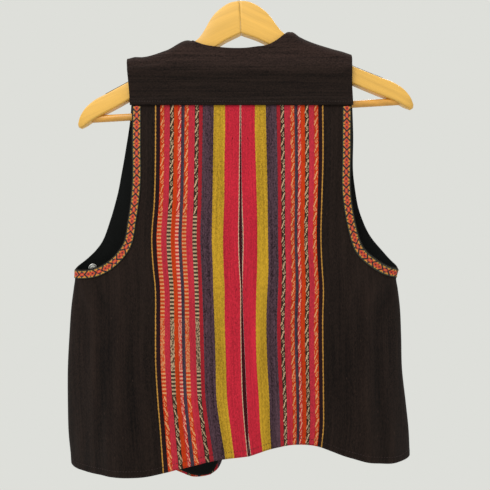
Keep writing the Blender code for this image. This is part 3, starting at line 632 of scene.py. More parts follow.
class Surface:
    """The back or the front of one half of the body, as a fine grid of points and normals.

    side is -1 for the wearer's left and 1 for the right.
    """

    top = -90 * MM
    bottom = -708 * MM
    rows = 420
    columns = 261
    samples = 601

    def __init__(self, side, front, crease_strength):
        self.side = side
        self.front = front
        self.heights = np.linspace(self.top, self.bottom, self.rows)
        self.lengths = np.zeros(self.rows)
        self.points = np.zeros((self.rows, self.columns, 3))
        shares = np.linspace(0.0, 1.0, self.columns)
        for i, z in enumerate(self.heights):
            x, y = self.ring(z)
            c = lengths_along(np.column_stack((x, y)))
            self.lengths[i] = c[-1]
            self.points[i, :, 0] = np.interp(shares * c[-1], c, x)
            self.points[i, :, 1] = np.interp(shares * c[-1], c, y)
            self.points[i, :, 2] = z
        rows = CREASES_FRONT if front else CREASES_BACK
        growth = np.clip(shares * CREASE_GROWTH, 0, 1)
        self.raised = self.creases(rows) * crease_strength * growth
        self.points += self.facing() * self.raised[..., None]
        self.normals = self.facing()

    def ring(self, z):
        """Points x, y of the half section at height z, from its side seam inwards."""
        samples = np.linspace(0.0, 1.0, self.samples)
        left = curve(z, BODY["z"], BODY["left"])
        right = curve(z, BODY["z"], BODY["right"])
        middle = (left + right) / 2
        width = (right - left) / 2
        seam = curve(z, SEAM_LINE["z"], SEAM_LINE["x"])
        start = (seam - middle) * self.side / width
        share = start + (1 - start) * (1 - samples ** ROUNDNESS)
        flat = ramp((FLAT_ABOVE - z) / (FLAT_ABOVE - ROUND_BELOW))
        rounding = np.clip(1 - np.abs(share) ** ROUNDNESS, 0, 1) ** (1 / ROUNDNESS)
        x = middle + self.side * width * share
        depth = curve(z, DEPTH["z"], DEPTH["front" if self.front else "back"])
        y = depth * (1 + (rounding - 1) * flat)
        y = y + self.folds(x, z) * np.clip((1 - share) / FOLD_EDGE, 0, 1)
        if self.front:
            swing = SWING_LEFT if self.side < 0 else SWING_RIGHT
            fall = ramp((SWING_TOP - z) / (SWING_TOP - FOLD_BOTTOM))
            y = y + swing * fall * np.clip(1 - share, 0, 1) ** SWING_BEND
        return x, y if self.front else -y

    def folds(self, x, z):
        """How far the folds move the cloth outwards."""
        rows = FOLDS_FRONT if self.front else FOLDS_BACK
        moved = np.zeros_like(x)
        for place, out, width, top in zip(rows["x"], rows["out"], rows["width"], rows["top"]):
            growth = ramp((top - z) / (top - FOLD_BOTTOM))
            moved += out * growth * np.exp(-((x - place) / width) ** 2)
        return moved

    def creases(self, rows):
        """Height of the creases at every point of the grid."""
        x = self.points[..., 0]
        z = self.points[..., 2]
        height = np.zeros_like(x)
        names = ("x", "z", "long", "wide", "out", "lean")
        for place, middle, long, wide, out, lean in zip(*(rows[name] for name in names)):
            down = (middle - z) / long
            across = (x - place - lean * down * long) / wide
            height += out * np.exp(-across ** 2 - down ** 2)
        return height

    def facing(self):
        """Outward unit normals of the grid."""
        along = np.gradient(self.points, axis=1)
        down = np.gradient(self.points, axis=0)
        out = np.cross(along, down)
        out /= np.linalg.norm(out, axis=2)[..., None]
        return out * self.side * (-1 if self.front else 1)

    def read(self, grid, c, z):
        """Values of a grid over the surface at cloth points."""
        rising = self.heights[::-1]
        length = np.interp(z, rising, self.lengths[::-1])
        row = np.interp(z, rising, np.arange(self.rows)[::-1])
        column = np.clip(c / length, 0, 1) * (self.columns - 1)
        i = np.clip(row.astype(int), 0, self.rows - 2)
        j = np.clip(column.astype(int), 0, self.columns - 2)
        down = (row - i)[..., None]
        over = (column - j)[..., None]
        upper = grid[i, j] * (1 - over) + grid[i, j + 1] * over
        lower = grid[i + 1, j] * (1 - over) + grid[i + 1, j + 1] * over
        return upper * (1 - down) + lower * down

    def place(self, c, z, lift=0.0):
        """Points of the surface at cloth points, moved outwards by lift."""
        c, z, lift = np.broadcast_arrays(c, z, lift)
        normal = self.read(self.normals, c, z)
        normal /= np.linalg.norm(normal, axis=-1)[..., None]
        return self.read(self.points, c, z) + normal * lift[..., None]

    def ridge(self, c, z):
        """Height of the creases at cloth points, in millimetres."""
        return self.read(self.raised[..., None], c, z)[..., 0] / MM

    def across(self, x, z):
        """The c of the point of the surface at x and z."""
        xs, ys = self.ring(z)
        c = lengths_along(np.column_stack((xs, ys)))
        order = np.argsort(xs)
        return float(np.interp(x, xs[order], c[order]))

    def centre(self, z):
        """The c of the centre back seam at one or many heights."""
        return np.interp(z, self.heights[::-1], self.lengths[::-1])

    def edge(self, rows):
        """A table of x and z as cloth points."""
        return np.array([(self.across(x, z), z) for x, z in zip(rows["x"], rows["z"])])


class Body:
    """The four surfaces of the vest, made once for each strength of the creases."""

    made = {}

    @classmethod
    def surface(cls, side, front):
        """The surface of one side, of its back or its front."""
        key = (side, front, bpy.context.scene.folk_vest_sizes.crease_strength)
        if key not in cls.made:
            cls.made[key] = Surface(*key)
        return cls.made[key]


def edge_distance(points, sides):
    """Distance of each grid point from the nearest of the named sides of its grid."""
    down = np.linalg.norm(np.diff(points, axis=0), axis=2).cumsum(axis=0)
    down = np.concatenate((np.zeros((1, points.shape[1])), down))
    over = np.linalg.norm(np.diff(points, axis=1), axis=2).cumsum(axis=1)
    over = np.concatenate((np.zeros((points.shape[0], 1)), over), axis=1)
    found = {"top": down, "bottom": down[-1] - down, "first": over, "last": over[:, -1:] - over}
    return np.min([found[side] for side in sides], axis=0)


def rounded(distance, thickness):
    """Share of a wall's half thickness that is left at a distance from its edge."""
    inside = np.clip(distance / (EDGE_REACH * thickness), 0, 1)
    return EDGE_LEFT + (1 - EDGE_LEFT) * np.sqrt(1 - (1 - inside) ** 2)


def shell(name, under, over, cloth, used=None):
    """A closed wall between two grids of points, with its cloth coordinates as an attribute."""
    rows, columns = over.shape[:2]
    if used is None:
        used = np.ones((rows - 1, columns - 1), bool)
    number = np.arange(rows * columns).reshape(rows, columns)
    corners = np.stack((number[:-1, :-1], number[:-1, 1:], number[1:, 1:], number[1:, :-1]), axis=-1)
    quads = corners[used]
    count = rows * columns
    starts = quads.ravel()
    ends = np.roll(quads, -1, axis=1).ravel()
    forward = starts * count + ends
    rim = ~np.isin(forward, ends * count + starts)
    starts = starts[rim]
    ends = ends[rim]
    walls = np.column_stack((ends, starts, starts + count, ends + count))
    faces = np.concatenate((quads, quads[:, ::-1] + count, walls))
    points = np.concatenate((over.reshape(-1, 3), under.reshape(-1, 3)))
    cloth = np.concatenate((cloth.reshape(-1, 3), cloth.reshape(-1, 3)))
    kept, faces = np.unique(faces, return_inverse=True)
    return mesh_object(name, points[kept], faces.reshape(-1, 4), cloth[kept])


def mesh_object(name, points, faces, cloth=None):
    """A smooth object from points and faces of a closed form, turned outwards."""
    faces = [list(face) for face in faces]
    volume = 0.0
    for face in faces:
        a = points[face[0]]
        for k in range(1, len(face) - 1):
            volume += np.dot(a, np.cross(points[face[k]], points[face[k + 1]]))
    if volume < 0:
        faces = [face[::-1] for face in faces]
    mesh = bpy.data.meshes.new(name)
    mesh.from_pydata([tuple(point) for point in points], [], faces)
    mesh.shade_smooth()
    if cloth is not None:
        attribute = mesh.attributes.new("cloth", "FLOAT_VECTOR", "POINT")
        attribute.data.foreach_set("vector", np.ascontiguousarray(cloth, np.float32).ravel())
    made = bpy.data.objects.new(name, mesh)
    bpy.context.scene.collection.objects.link(made)
    return made


def hang(made, finish, slot, *nodes):
    """Give a piece its material and its place in the frame."""
    made.data.materials.clear()
    made.data.materials.append(finish)
    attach(made, "root")
    if nodes:
        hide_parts(*nodes)
    return made


class Value:
    """A number in a shader. Expressions on it add Math nodes."""

    def __init__(self, nodes, socket):
        self.nodes = nodes
        self.socket = socket

    def math(self, operation, *inputs):
        """The result of one Math node."""
        values = dict(enumerate(inputs))
        node = self.nodes.node("ShaderNodeMath", {"operation": operation}, values)
        return Value(self.nodes, node.outputs[0])

    def __add__(self, other):
        return self.math("ADD", self, other)

    def __radd__(self, other):
        return self.math("ADD", other, self)

    def __sub__(self, other):
        return self.math("SUBTRACT", self, other)

    def __rsub__(self, other):
        return self.math("SUBTRACT", other, self)

    def __mul__(self, other):
        return self.math("MULTIPLY", self, other)

    def __rmul__(self, other):
        return self.math("MULTIPLY", other, self)

    def __truediv__(self, other):
        return self.math("DIVIDE", self, other)

    def above(self, level):
        """1 where the value is above a level, else 0."""
        return self.math("GREATER_THAN", self, level)

    def below(self, level):
        """1 where the value is below a level, else 0."""
        return self.math("LESS_THAN", self, level)

    def floor(self):
        """The whole number below the value."""
        return self.math("FLOOR", self)

    def fraction(self):
        """What is above the whole number."""
        return self.math("FRACT", self)

    def absolute(self):
        """The value without its sign."""
        return self.math("ABSOLUTE", self)

    def hump(self):
        """A half sine over each whole number of the value."""
        return self.math("ABSOLUTE", self.math("SINE", self * math.pi))

    def clamp(self):
        """The value kept from 0 to 1."""
        return self.math("MINIMUM", self.math("MAXIMUM", self, 0.0), 1.0)


def set_stops(color_ramp, stops):
    """Put stops of place and colour on a ramp."""
    elements = color_ramp.elements
    while len(elements) > 1:
        elements.remove(elements[-1])
    elements[0].position = stops[0][0]
    elements[0].color = stops[0][1]
    for place, colour in stops[1:]:
        elements.new(place).color = colour


class Nodes:
    """A shader's nodes while they are made, and the one way in which they are added."""

    def __init__(self, tree):
        self.tree = tree

    def node(self, kind, settings=None, inputs=None):
        """A node of a type, with its settings and the values or links of its sockets."""
        made = self.tree.nodes.new(kind)
        for key, value in (settings or {}).items():
            if key == "stops":
                set_stops(made.color_ramp, value)
            elif key == "interpolation":
                made.color_ramp.interpolation = value
            else:
                setattr(made, key, value)
        for key, value in (inputs or {}).items():
            self.feed(made.inputs[key], value)
        return made

    def feed(self, socket, value):
        """Link or set one socket."""
        if isinstance(value, Value):
            value = value.socket
        if isinstance(value, bpy.types.NodeSocket):
            self.tree.links.new(value, socket)
        else:
            socket.default_value = value

    def parts(self, vector):
        """The three values of a vector, and the vector itself."""
        split = self.node("ShaderNodeSeparateXYZ", None, {0: vector})
        return (*(Value(self, split.outputs[k]) for k in range(3)), vector)

    def stops(self, at, stops, interpolation="CONSTANT"):
        """Colour and alpha of a ramp at a value from 0 to 1."""
        settings = {"interpolation": interpolation, "stops": stops}
        node = self.node("ShaderNodeValToRGB", settings, {0: at})
        return node.outputs["Color"], Value(self, node.outputs["Alpha"])


class Finish(Nodes):
    """A material while it is made."""

    def __init__(self, name, kind):
        self.material = bpy.data.materials.new(name)
        self.material.use_nodes = True
        super().__init__(self.material.node_tree)
        self.shader = self.tree.nodes["Principled BSDF"]
        for key, value in SHADERS[kind].items():
            self.feed(self.shader.inputs[key], value)

    def cloth(self):
        """The piece's cloth coordinates as three values and a vector."""
        node = self.node("ShaderNodeAttribute", {"attribute_name": "cloth"})
        return self.parts(node.outputs["Vector"])

    def here(self):
        """The place on the object as three values and a vector."""
        return self.parts(self.node("ShaderNodeTexCoord").outputs["Object"])

    def vector(self, x, y, z=0.0):
        """A vector from three values."""
        return self.node("ShaderNodeCombineXYZ", None, {0: x, 1: y, 2: z}).outputs[0]

    def noise(self, vector, scale, detail=2.0):
        """Soft noise from 0 to 1."""
        inputs = {"Vector": vector, "Scale": scale, "Detail": detail}
        node = self.node("ShaderNodeTexNoise", None, inputs)
        return Value(self, node.outputs[0])

    def uneven(self, vector, scale, detail=2.0):
        """Soft noise from -0.5 to 0.5."""
        return self.noise(vector, scale, detail) - 0.5

    def stretched(self, name, across, down):
        """A named noise over the cloth from -0.5 to 0.5, with its own stretch."""
        across_stretch, down_stretch, scale, detail = CLOTH_NOISE[name]
        place = self.vector(across * across_stretch, down * down_stretch)
        return self.uneven(place, scale, detail)

    def fleck(self, x, y):
        """A number from 0 to 1 that differs from cell to cell."""
        settings = {"noise_dimensions": "2D"}
        node = self.node("ShaderNodeTexWhiteNoise", settings, {"Vector": self.vector(x, y)})
        return Value(self, node.outputs["Value"])

    def mix(self, share, first, second):
        """Two colours mixed by a share of the second."""
        node = self.node("ShaderNodeMix", {"data_type": "RGBA"}, {0: share, 6: first, 7: second})
        return node.outputs[2]

    def chart(self, rows, yarns, across, along):
        """Colour of a woven chart, with across and along from 0 to 1."""
        columns = len(rows[0])
        colour = None
        for k in range(columns):
            stops = []
            for i, row in enumerate(rows):
                if i == 0 or row[k] != rows[i - 1][k]:
                    stops.append((i / len(rows), yarns[row[k]]))
            column, _ = self.stops(along, stops)
            if colour is None:
                colour = column
            else:
                colour = self.mix(across.above(k / columns), colour, column)
        return colour

    def tint(self, colour, kind, **parts):
        """Feed the base colour, shaded by the named unevenness of a kind of finish."""
        level = TINTS[kind]["base"]
        for name, value in parts.items():
            level = value * TINTS[kind][name] + level
        if isinstance(colour, tuple):
            colour = colour[:3]
        inputs = {0: colour, "Scale": level}
        node = self.node("ShaderNodeVectorMath", {"operation": "SCALE"}, inputs)
        self.feed(self.shader.inputs["Base Color"], node.outputs[0])

    def bump(self, height, kind):
        """Feed the normal with a height, at the distance and strength of a kind of finish."""
        distance, strength = BUMPS[kind]
        inputs = {"Height": height, "Distance": distance, "Strength": strength}
        node = self.node("ShaderNodeBump", None, inputs)
        self.feed(self.shader.inputs["Normal"], node.outputs[0])


def weave(threads, picks):
    """Height of a warp-faced weave from 0 to 1, and the cell of each warp float."""
    thread = threads.floor()
    step = (picks + thread) / FLOAT_PICKS
    height = threads.hump() * (step.hump() * (1 - FLOAT_END) + FLOAT_END)
    return height, thread, step.floor()


def two_tone(value, split, dark, light):
    """A dark level below a split of a value, and a light one above it."""
    return value.above(split) * (light - dark) + dark


def ramp_place(thread):
    """Where a warp thread lies on the stripes' colour ramps, from 0 to 1."""
    return (thread + RAMP_LEAD) / RAMP_THREADS


def stripe_colours(finish, thread):
    """Ground and light yarn at a thread, and how much the ground is flecked."""
    colours = bpy.context.scene.folk_vest_colours
    chosen = {"crimson": colours.crimson, "yellow": colours.yellow, "black": colours.black_wool}
    yarns = {name: (*chosen.get(name, seen(colour)[:3]), fleck)
             for name, (colour, fleck) in YARNS.items()}
    ground = [(0.0, yarns["seam"])]
    light = [(0.0, yarns["cream"])]
    for start, (_, yarn, second) in zip(STRIPE_STARTS, STRIPES):
        ground.append((ramp_place(start), yarns[yarn]))
        if second:
            light.append((ramp_place(start - LIGHT_LEAD), yarns[second]))
    ground.append((ramp_place(STRIPE_STARTS[-1]), yarns["black"]))
    ground_colour, flecked = finish.stops(ramp_place(thread), ground)
    light_colour, _ = finish.stops(ramp_place(thread), light)
    return ground_colour, light_colour, flecked


def chain_stripes(thread):
    """1 in a chain stripe, the place across it from 0 to 1, and how far its figures lag."""
    inside = []
    places = []
    lags = []
    for number, (start, (width, _, second)) in enumerate(zip(STRIPE_STARTS, STRIPES)):
        if second:
            local = (thread - start) / width
            here = local.above(0.0) * local.below(1.0)
            inside.append(here)
            places.append(here * local)
            lags.append(here * (number * STAGGER))
    return sum(inside), sum(places), sum(lags)


def handweave(name, bars_below):
    """The striped wool: warp stripes with chain figures between black fields."""
    sizes = bpy.context.scene.folk_vest_sizes
    finish = Finish(name, "wool")
    across, down, ridge, vector = finish.cloth()
    threads = across / sizes.thread
    height, thread, cell = weave(threads, down / sizes.pick)
    worn = finish.fleck(thread, cell)
    wander = finish.uneven(vector, WANDER_SCALE)
    nudge = ((cell / 2).fraction() - 0.5) / 2
    ground, light, flecked = stripe_colours(finish, threads + wander * STRIPE_WANDER + nudge)
    inside, place, lag = chain_stripes(threads + wander * CHAIN_WANDER)
    hook = ((down + wander * HOOK_WANDER - CHAIN_START) / CHAIN_REPEAT + lag).fraction()
    if bars_below:
        place = place + down.below(ZONES[0]) * (1 - place * 2)
    black_white = {"#": (1, 1, 1, 1), ".": (0, 0, 0, 1)}
    figure = Value(finish, finish.chart(CHAIN_CHART, black_white, place, hook))
    figure = figure * two_tone(worn, **DIM_FLOATS) + two_tone(worn, **LIT_FLOATS)
    if bars_below:
        first, second, third, last = ZONES
        bar = ((down + wander * BAR_WANDER) / BAR_REPEAT + lag).fraction()
        speck = finish.fleck(thread, (down / SPECK + thread / 2).floor())
        in_bars = down.above(first) * down.below(last)
        in_specks = down.above(second) * down.below(third)
        figure = (figure * (1 - in_bars) + two_tone(bar, **BARS) * in_bars * (1 - in_specks)
                  + two_tone(speck, **SPECKS) * in_specks)
    finish.tint(
        # The weave's height darkens the colour in the hollows between threads: painted shade
        finish.mix(figure * inside, ground, light), "handweave", height=height,
        float=(worn - 0.5) * flecked,
        # drift and streak are partly the yarn's own uneven tone and partly painted light: lighter
        # streaks that stand in for soft folds
        drift=finish.stretched("drift", across, down) * flecked,
        streak=finish.stretched("streak", threads, down) * flecked,
        speckle=finish.uneven(vector, SPECKLE_SCALE, 1.0) * flecked,
        # The crease height lightens the colour on raised creases and darkens it in their troughs:
        # painted light and shade
        crease=ridge * flecked,
        lint=finish.fleck(thread, cell + LINT_SEED).above(LINT_ABOVE)
        * threads.above(STRIPE_STARTS[-1]),
        knot=finish.fleck(thread + KNOT_SEED, cell).above(KNOT_ABOVE))
    finish.bump(height + finish.noise(vector, FUZZ_SCALE) * HANDWEAVE_FUZZ, "wool")
    return finish.material


def black_wool():
    """The plain dark wool of the yoke, woven crosswise, with a painted highlight that makes it browner
    on the shoulders.
    """
    sizes = bpy.context.scene.folk_vest_sizes
    black = bpy.context.scene.folk_vest_colours.black_wool
    finish = Finish("black_wool", "wool")
    across, down, _, vector = finish.cloth()
    _, _, high, _ = finish.here()
    height, thread, cell = weave(down / sizes.thread, across / sizes.pick)
    # Above the shoulder height the colour fades to the lighter shoulder brown: a painted highlight
    # where light from above falls on the yoke's top
    upper = ((high - SHOULDER_HIGHLIGHT_Z) / SHOULDER_HIGHLIGHT_FADE).clamp()
    finish.tint(
        # The weave's height gives painted shade in the hollows between threads
        finish.mix(upper, (*black, 1.0), seen(COLOURS["shoulder"])), "yoke", height=height,
        float=finish.fleck(thread, cell) - 0.5,
        drift=finish.stretched("yoke_drift", across, down),
        streak=finish.stretched("yoke_streak", across, down / sizes.thread),
        speckle=finish.uneven(vector, SPECKLE_SCALE, 1.0))
    finish.bump(height + finish.noise(vector, FUZZ_SCALE) * YOKE_FUZZ, "wool")
    return finish.material


def lining_cotton():
    """Fine black cotton."""
    finish = Finish("lining_cotton", "cotton")
    across, down, _, vector = finish.cloth()
    height, _, _ = weave(across / COTTON_THREAD, down / COTTON_THREAD)
    drift = finish.uneven(vector, COTTON_SCALE)
    # The weave's height gives painted shade in the hollows between threads
    finish.tint(seen(COLOURS["lining"]), "cotton", height=height, drift=drift)
    wrinkle = finish.stretched("wrinkle", across, down)
    finish.bump(height * COTTON_RELIEF + wrinkle * WRINKLE_RELIEF, "cotton")
    return finish.material


def ribbon_trim():
    """Woven patterned ribbon with medallions between black chevrons."""
    finish = Finish("ribbon_trim", "ribbon")
    across, along, _, _ = finish.cloth()
    repeat = (along / RIBBON_REPEAT).fraction()
    half = 1 - (repeat * 2 - 1).absolute()
    aside = across.absolute() / (RIBBON_WIDTH / 2) * RIBBON_SPREAD
    yarns = {key: seen(colour) for key, colour in RIBBON_YARNS.items()}
    colour = finish.chart(RIBBON_CHART, yarns, aside, half)
    row = along / (RIBBON_REPEAT / (2 * len(RIBBON_CHART))) + 0.5
    stitch = across / (RIBBON_WIDTH / (2 * len(RIBBON_CHART[0]) - 1)) + 0.5
    height = row.hump() * ROW_RELIEF + stitch.hump() * (1 - ROW_RELIEF)
    # The rows' and stitches' height gives painted shade in the hollows between them
    finish.tint(colour, "ribbon", height=height, float=finish.fleck(row.floor(), stitch.floor()) - 0.5)
    finish.bump(height, "ribbon")
    return finish.material


def thread_finish(name):
    """Sewing thread of a named colour."""
    finish = Finish(name, "thread")
    _, _, _, vector = finish.here()
    finish.tint(seen(COLOURS[name]), "thread", speckle=finish.uneven(vector, THREAD_SCALE))
    return finish.material


def varnished_wood(name, colour):
    """Pale wood under clear varnish, with its grain along each arm."""
    finish = Finish(name, "varnish")
    x, y, z, _ = finish.here()
    across = z + x.absolute() * GRAIN_FALL
    broad = finish.noise(finish.vector(x * BROAD_STRETCH, y, across), BROAD_SCALE, 4.0)
    fine = finish.noise(finish.vector(x * FINE_STRETCH, y, across), FINE_SCALE)
    finish.tint(colour, "varnish", broad=broad - 0.5, fine=fine - 0.5)
    finish.bump(fine, "varnish")
    return finish.material


def steel():
    """Plated steel with faint scuffs."""
    finish = Finish("plated_steel", "steel")
    _, _, _, vector = finish.here()
    scuff = finish.noise(vector, SCUFF_SCALE, 3.0)
    finish.tint(seen(COLOURS["steel"]), "steel", scuff=scuff)
    finish.feed(finish.shader.inputs["Roughness"], scuff * SCUFF_ROUGHNESS + LEAST_ROUGHNESS)
    finish.bump(scuff, "steel")
    return finish.material


def black_rubber():
    """Matte rubber with fine ribs."""
    finish = Finish("black_rubber", "rubber")
    _, y, _, vector = finish.here()
    speck = finish.noise(vector, RUBBER_SCALE)
    finish.tint(seen(COLOURS["rubber"]), "rubber", speckle=speck)
    finish.bump((y / RIB_WIDTH).hump() + speck * RUBBER_SPECK, "rubber")
    return finish.material


class Finishes:
    """Materials, made once each."""

    made = {}

    @classmethod
    def get(cls, name):
        """The material of that name."""
        wood = bpy.context.scene.folk_vest_colours.wood
        makers = {
            "weave_left": lambda: handweave("weave_left", True),
            "weave_right": lambda: handweave("weave_right", False),
            "black_wool": black_wool,
            "lining": lining_cotton,
            "ribbon": ribbon_trim,
            "hem_thread": lambda: thread_finish("hem_thread"),
            "dark_thread": lambda: thread_finish("dark_thread"),
            "wood": lambda: varnished_wood("varnished_wood", tuple(wood)),
            # The bar's darker wood is painted shade from the vest that hangs over it
            "bar_wood_painted_shade": lambda: varnished_wood("bar_wood_painted_shade", seen(COLOURS["bar"])),
            "steel": steel,
            "rubber": black_rubber,
        }
        if name not in cls.made:
            cls.made[name] = makers[name]()
        return cls.made[name]


def arm_line(side, front):
    """An armhole's edge as cloth points, down to the side seam."""
    edge = Body.surface(side, front).edge(ARMHOLES[side, front])
    return resample(np.vstack((edge, [(SEAM, PIT)])), np.linspace(0.0, 1.0, ARM_SAMPLES))


def panel_grid(side, front, inner):
    """Cloth points of half of the back or of one front.

    Rows run from the shoulder to the hem and columns from the inner edge to the armhole
    and the side seam.
    """
    arm = resample(arm_line(side, front), np.linspace(0.0, 1.0, ARM_ROWS))
    foot = Body.surface(side, front).edge(HEMS[side, front])
    seam = np.array([(SEAM, PIT), (SEAM, foot[-1, 1])])
    seam_length = PIT - foot[-1, 1]
    lower = resample(seam, shares_with_edges(SIDE_ROWS, seam_length, start=False))[1:]
    outer = np.vstack((arm, lower))
    length = lengths_along(inner)[-1]
    shares = np.linspace(0.0, 1.0, len(outer) - len(EDGE_STEPS))
    shares = np.concatenate((shares[:-1], 1 - np.array(EDGE_STEPS[::-1]) / length, [1.0]))
    inner = resample(inner, shares)
    foot = np.vstack(([inner[-1]], foot[1:-1], [outer[-1]]))
    foot = resample(foot, np.linspace(0, 1, HEM_SAMPLES))
    foot_shares = lengths_along(foot) / lengths_along(foot)[-1]
    columns = shares_with_edges(PANEL_COLUMNS, PANEL_WIDTH)
    fall = lengths_along(outer) / lengths_along(outer)[-1]
    straight = foot[0] + columns[:, None] * (foot[-1] - foot[0])
    reached = np.column_stack([np.interp(columns, foot_shares, foot[:, k]) for k in (0, 1)])
    grid = inner[:, None] * (1 - columns[:, None]) + outer[:, None] * columns[:, None]
    return grid + (fall ** 2)[:, None, None] * (reached - straight)


def stripe_place(surface, grid, run, thread):
    """Distance of each cloth point from the cream line, measured in stripes, in metres."""
    points = surface.place(grid[..., 0], grid[..., 1])
    x = points[..., 0] * surface.side
    z = points[..., 2]
    marks = (CREAM_MIDDLE, YELLOW_IN, YELLOW_OUT, GOLD_MIDDLE)
    names = ("cream", "yellow_in", "yellow_out", "gold")
    lines = [curve(z, run["z"], run[name]) * surface.side for name in names]
    threads = marks[3] + (x - lines[3]) / thread
    for k in (2, 1, 0):
        slope = (marks[k + 1] - marks[k]) / (lines[k + 1] - lines[k])
        threads = np.where(x < lines[k + 1], marks[k] + (x - lines[k]) * slope, threads)
    return threads * thread


def hem_lift(points, depth):
    """Extra thickness of the turned-up hem."""
    distance = edge_distance(points, ("bottom",))
    return HEM_LIFT * ramp((depth - distance) / HEM_STEP)


def cut_area(grid):
    """Flat area of a grid of cloth points, in square metres."""
    c = grid[..., 0]
    z = grid[..., 1]
    first = (c[1:, 1:] - c[:-1, :-1]) * (z[1:, :-1] - z[:-1, 1:])
    second = (c[1:, :-1] - c[:-1, 1:]) * (z[1:, 1:] - z[:-1, :-1])
    return float(np.abs(first - second).sum() / 2)


def cut_size(grid):
    """Width and length of the smallest upright rectangle round a cut."""
    spans = grid.reshape(-1, 2).max(axis=0) - grid.reshape(-1, 2).min(axis=0)
    return float(spans[0]), float(spans[1])


def wall_core(surface, grid, level, thickness, sides):
    """Middle points of a cloth wall at a level over the surface, and its half thickness."""
    core = surface.place(grid[..., 0], grid[..., 1], level)
    return core, thickness / 2 * rounded(edge_distance(core, sides), thickness)


def panel(side, front):
    """Half of the back or one front, as a shell on its surface."""
    sizes = bpy.context.scene.folk_vest_sizes
    surface = Body.surface(side, front)
    if front:
        inner = surface.edge(FRONT_EDGES[side])
        sides = ("first", "last", "bottom", "top")
    else:
        heights = np.linspace(ARMHOLES[side, front]["z"][0], HEMS[side, front]["z"][0], BACK_SAMPLES)
        inner = np.column_stack((surface.centre(heights) - SEAM, heights))
        sides = ("first", "last", "bottom")
    grid = panel_grid(side, front, inner)
    c = grid[..., 0]
    z = grid[..., 1]
    level = -PANEL / 2
    core, half = wall_core(surface, grid, level, PANEL, sides)
    over = surface.place(c, z, level + half + hem_lift(core, sizes.hem_depth))
    under = surface.place(c, z, level - half)
    if front:
        across = grid[-1, 0, 0] - c + FRONT_FIRST * sizes.thread
    else:
        across = stripe_place(surface, grid, RUNS[side], sizes.thread)
    # The third cloth value is the crease height, which gives the handweave painted light and shade on
    # its creases
    cloth = np.stack((across, YOKE_LOW - z, surface.ridge(c, z)), axis=-1)
    name = ("front_" if front else "back_") + HAND[side]
    made = shell(name + "_cloth", under, over, cloth)
    bars = side < 0 and not front
    hang(made, Finishes.get("weave_left" if bars else "weave_right"), "handweave", name)
    cut_size(grid)
    cut_area(grid)
    return made


def lining(side):
    """The lining of one front."""
    surface = Body.surface(side, True)
    grid = panel_grid(side, True, surface.edge(FRONT_EDGES[side]))
    whole = surface.place(grid[..., 0], grid[..., 1])
    far = edge_distance(whole, ("first",)) > LINING_INSET
    far &= edge_distance(whole, ("bottom",)) > LINING_HEM_INSET
    rows = np.flatnonzero(far[:, far.shape[1] // 2])
    columns = np.flatnonzero(far[far.shape[0] // 2, :])
    grid = grid[LINING_FIRST_ROW:rows[-1] + 1, columns[0]:-1]
    c = grid[..., 0]
    z = grid[..., 1]
    level = -(PANEL + GAP) - LINING / 2
    _, half = wall_core(surface, grid, level, LINING, ("first", "last", "bottom", "top"))
    cloth = np.stack((c, -z, np.zeros_like(c)), axis=-1)
    name = "lining_" + HAND[side]
    under = surface.place(c, z, level - half)
    made = shell(name + "_cloth", under, surface.place(c, z, level + half), cloth)
    hang(made, Finishes.get("lining"), "lining", name)
    cut_size(grid)
    cut_area(grid)
    return made


def ribbon_top(side, front):
    """Height at which the ribbon starts, just under the yoke."""
    if not front:
        return YOKE_LOW - RIBBON_INSET
    return float(yoke_top(ARMHOLES[side, front]["x"][0])) - YOKE_FRONT_DROP - RIBBON_INSET


def ribbon_rows(side, front):
    """Cloth points of the ribbon on one surface, from the yoke down to the side seam."""
    top = ribbon_top(side, front)
    arm = arm_line(side, front)
    shown = arm[arm[:, 1] < top]
    shown = np.vstack(([(shown[0, 0], top)], shown))
    shown = resample(shown, shares_with_edges(RIBBON_ROWS, RIBBON_LENGTH, end=False))
    grid = []
    for share in shares_with_edges(RIBBON_COLUMNS, RIBBON_WIDTH):
        reach = RIBBON_INSET + share * RIBBON_WIDTH
        strip = offset(shown, reach)
        strip[-1] = (SEAM, PIT - reach)
        strip[0, 1] = top
        grid.append(strip)
    return Body.surface(side, front), np.stack(grid[::-1], axis=1)


def ribbon(side):
    """The patterned ribbon round one armhole, back and front."""
    level = GAP + RIBBON / 2
    parts = []
    for front in (False, True):
        surface, grid = ribbon_rows(side, front)
        core, half = wall_core(surface, grid, level, RIBBON, ("first", "last", "top"))
        under, over = (surface.place(grid[..., 0], grid[..., 1], level + s * half) for s in (-1, 1))
        line = lengths_along(core[:, core.shape[1] // 2])
        wide = edge_distance(core, ("first",))
        parts.append((under, over, line, wide - wide[:, -1:] / 2))
    (under, over, line, across), (fore_under, fore_over, fore_line, fore_across) = parts
    under = np.concatenate((under, fore_under[::-1][1:]))
    over = np.concatenate((over, fore_over[::-1][1:]))
    along = np.concatenate((line, line[-1] + (fore_line[-1] - fore_line)[::-1][1:]))
    across = np.concatenate((across, fore_across[::-1][1:]))
    cloth = np.stack(np.broadcast_arrays(across, along[:, None], 0.0), axis=-1)
    hand = HAND[side]
    made = shell("ribbon_" + hand + "_trim", under, over, cloth)
    hang(made, Finishes.get("ribbon"), "ribbon", "ribbon_" + hand)
    return made


def yoke_top(x):
    """Height of the yoke's top edge at x."""
    return curve(x, YOKE_TOP["x"], YOKE_TOP["z"])


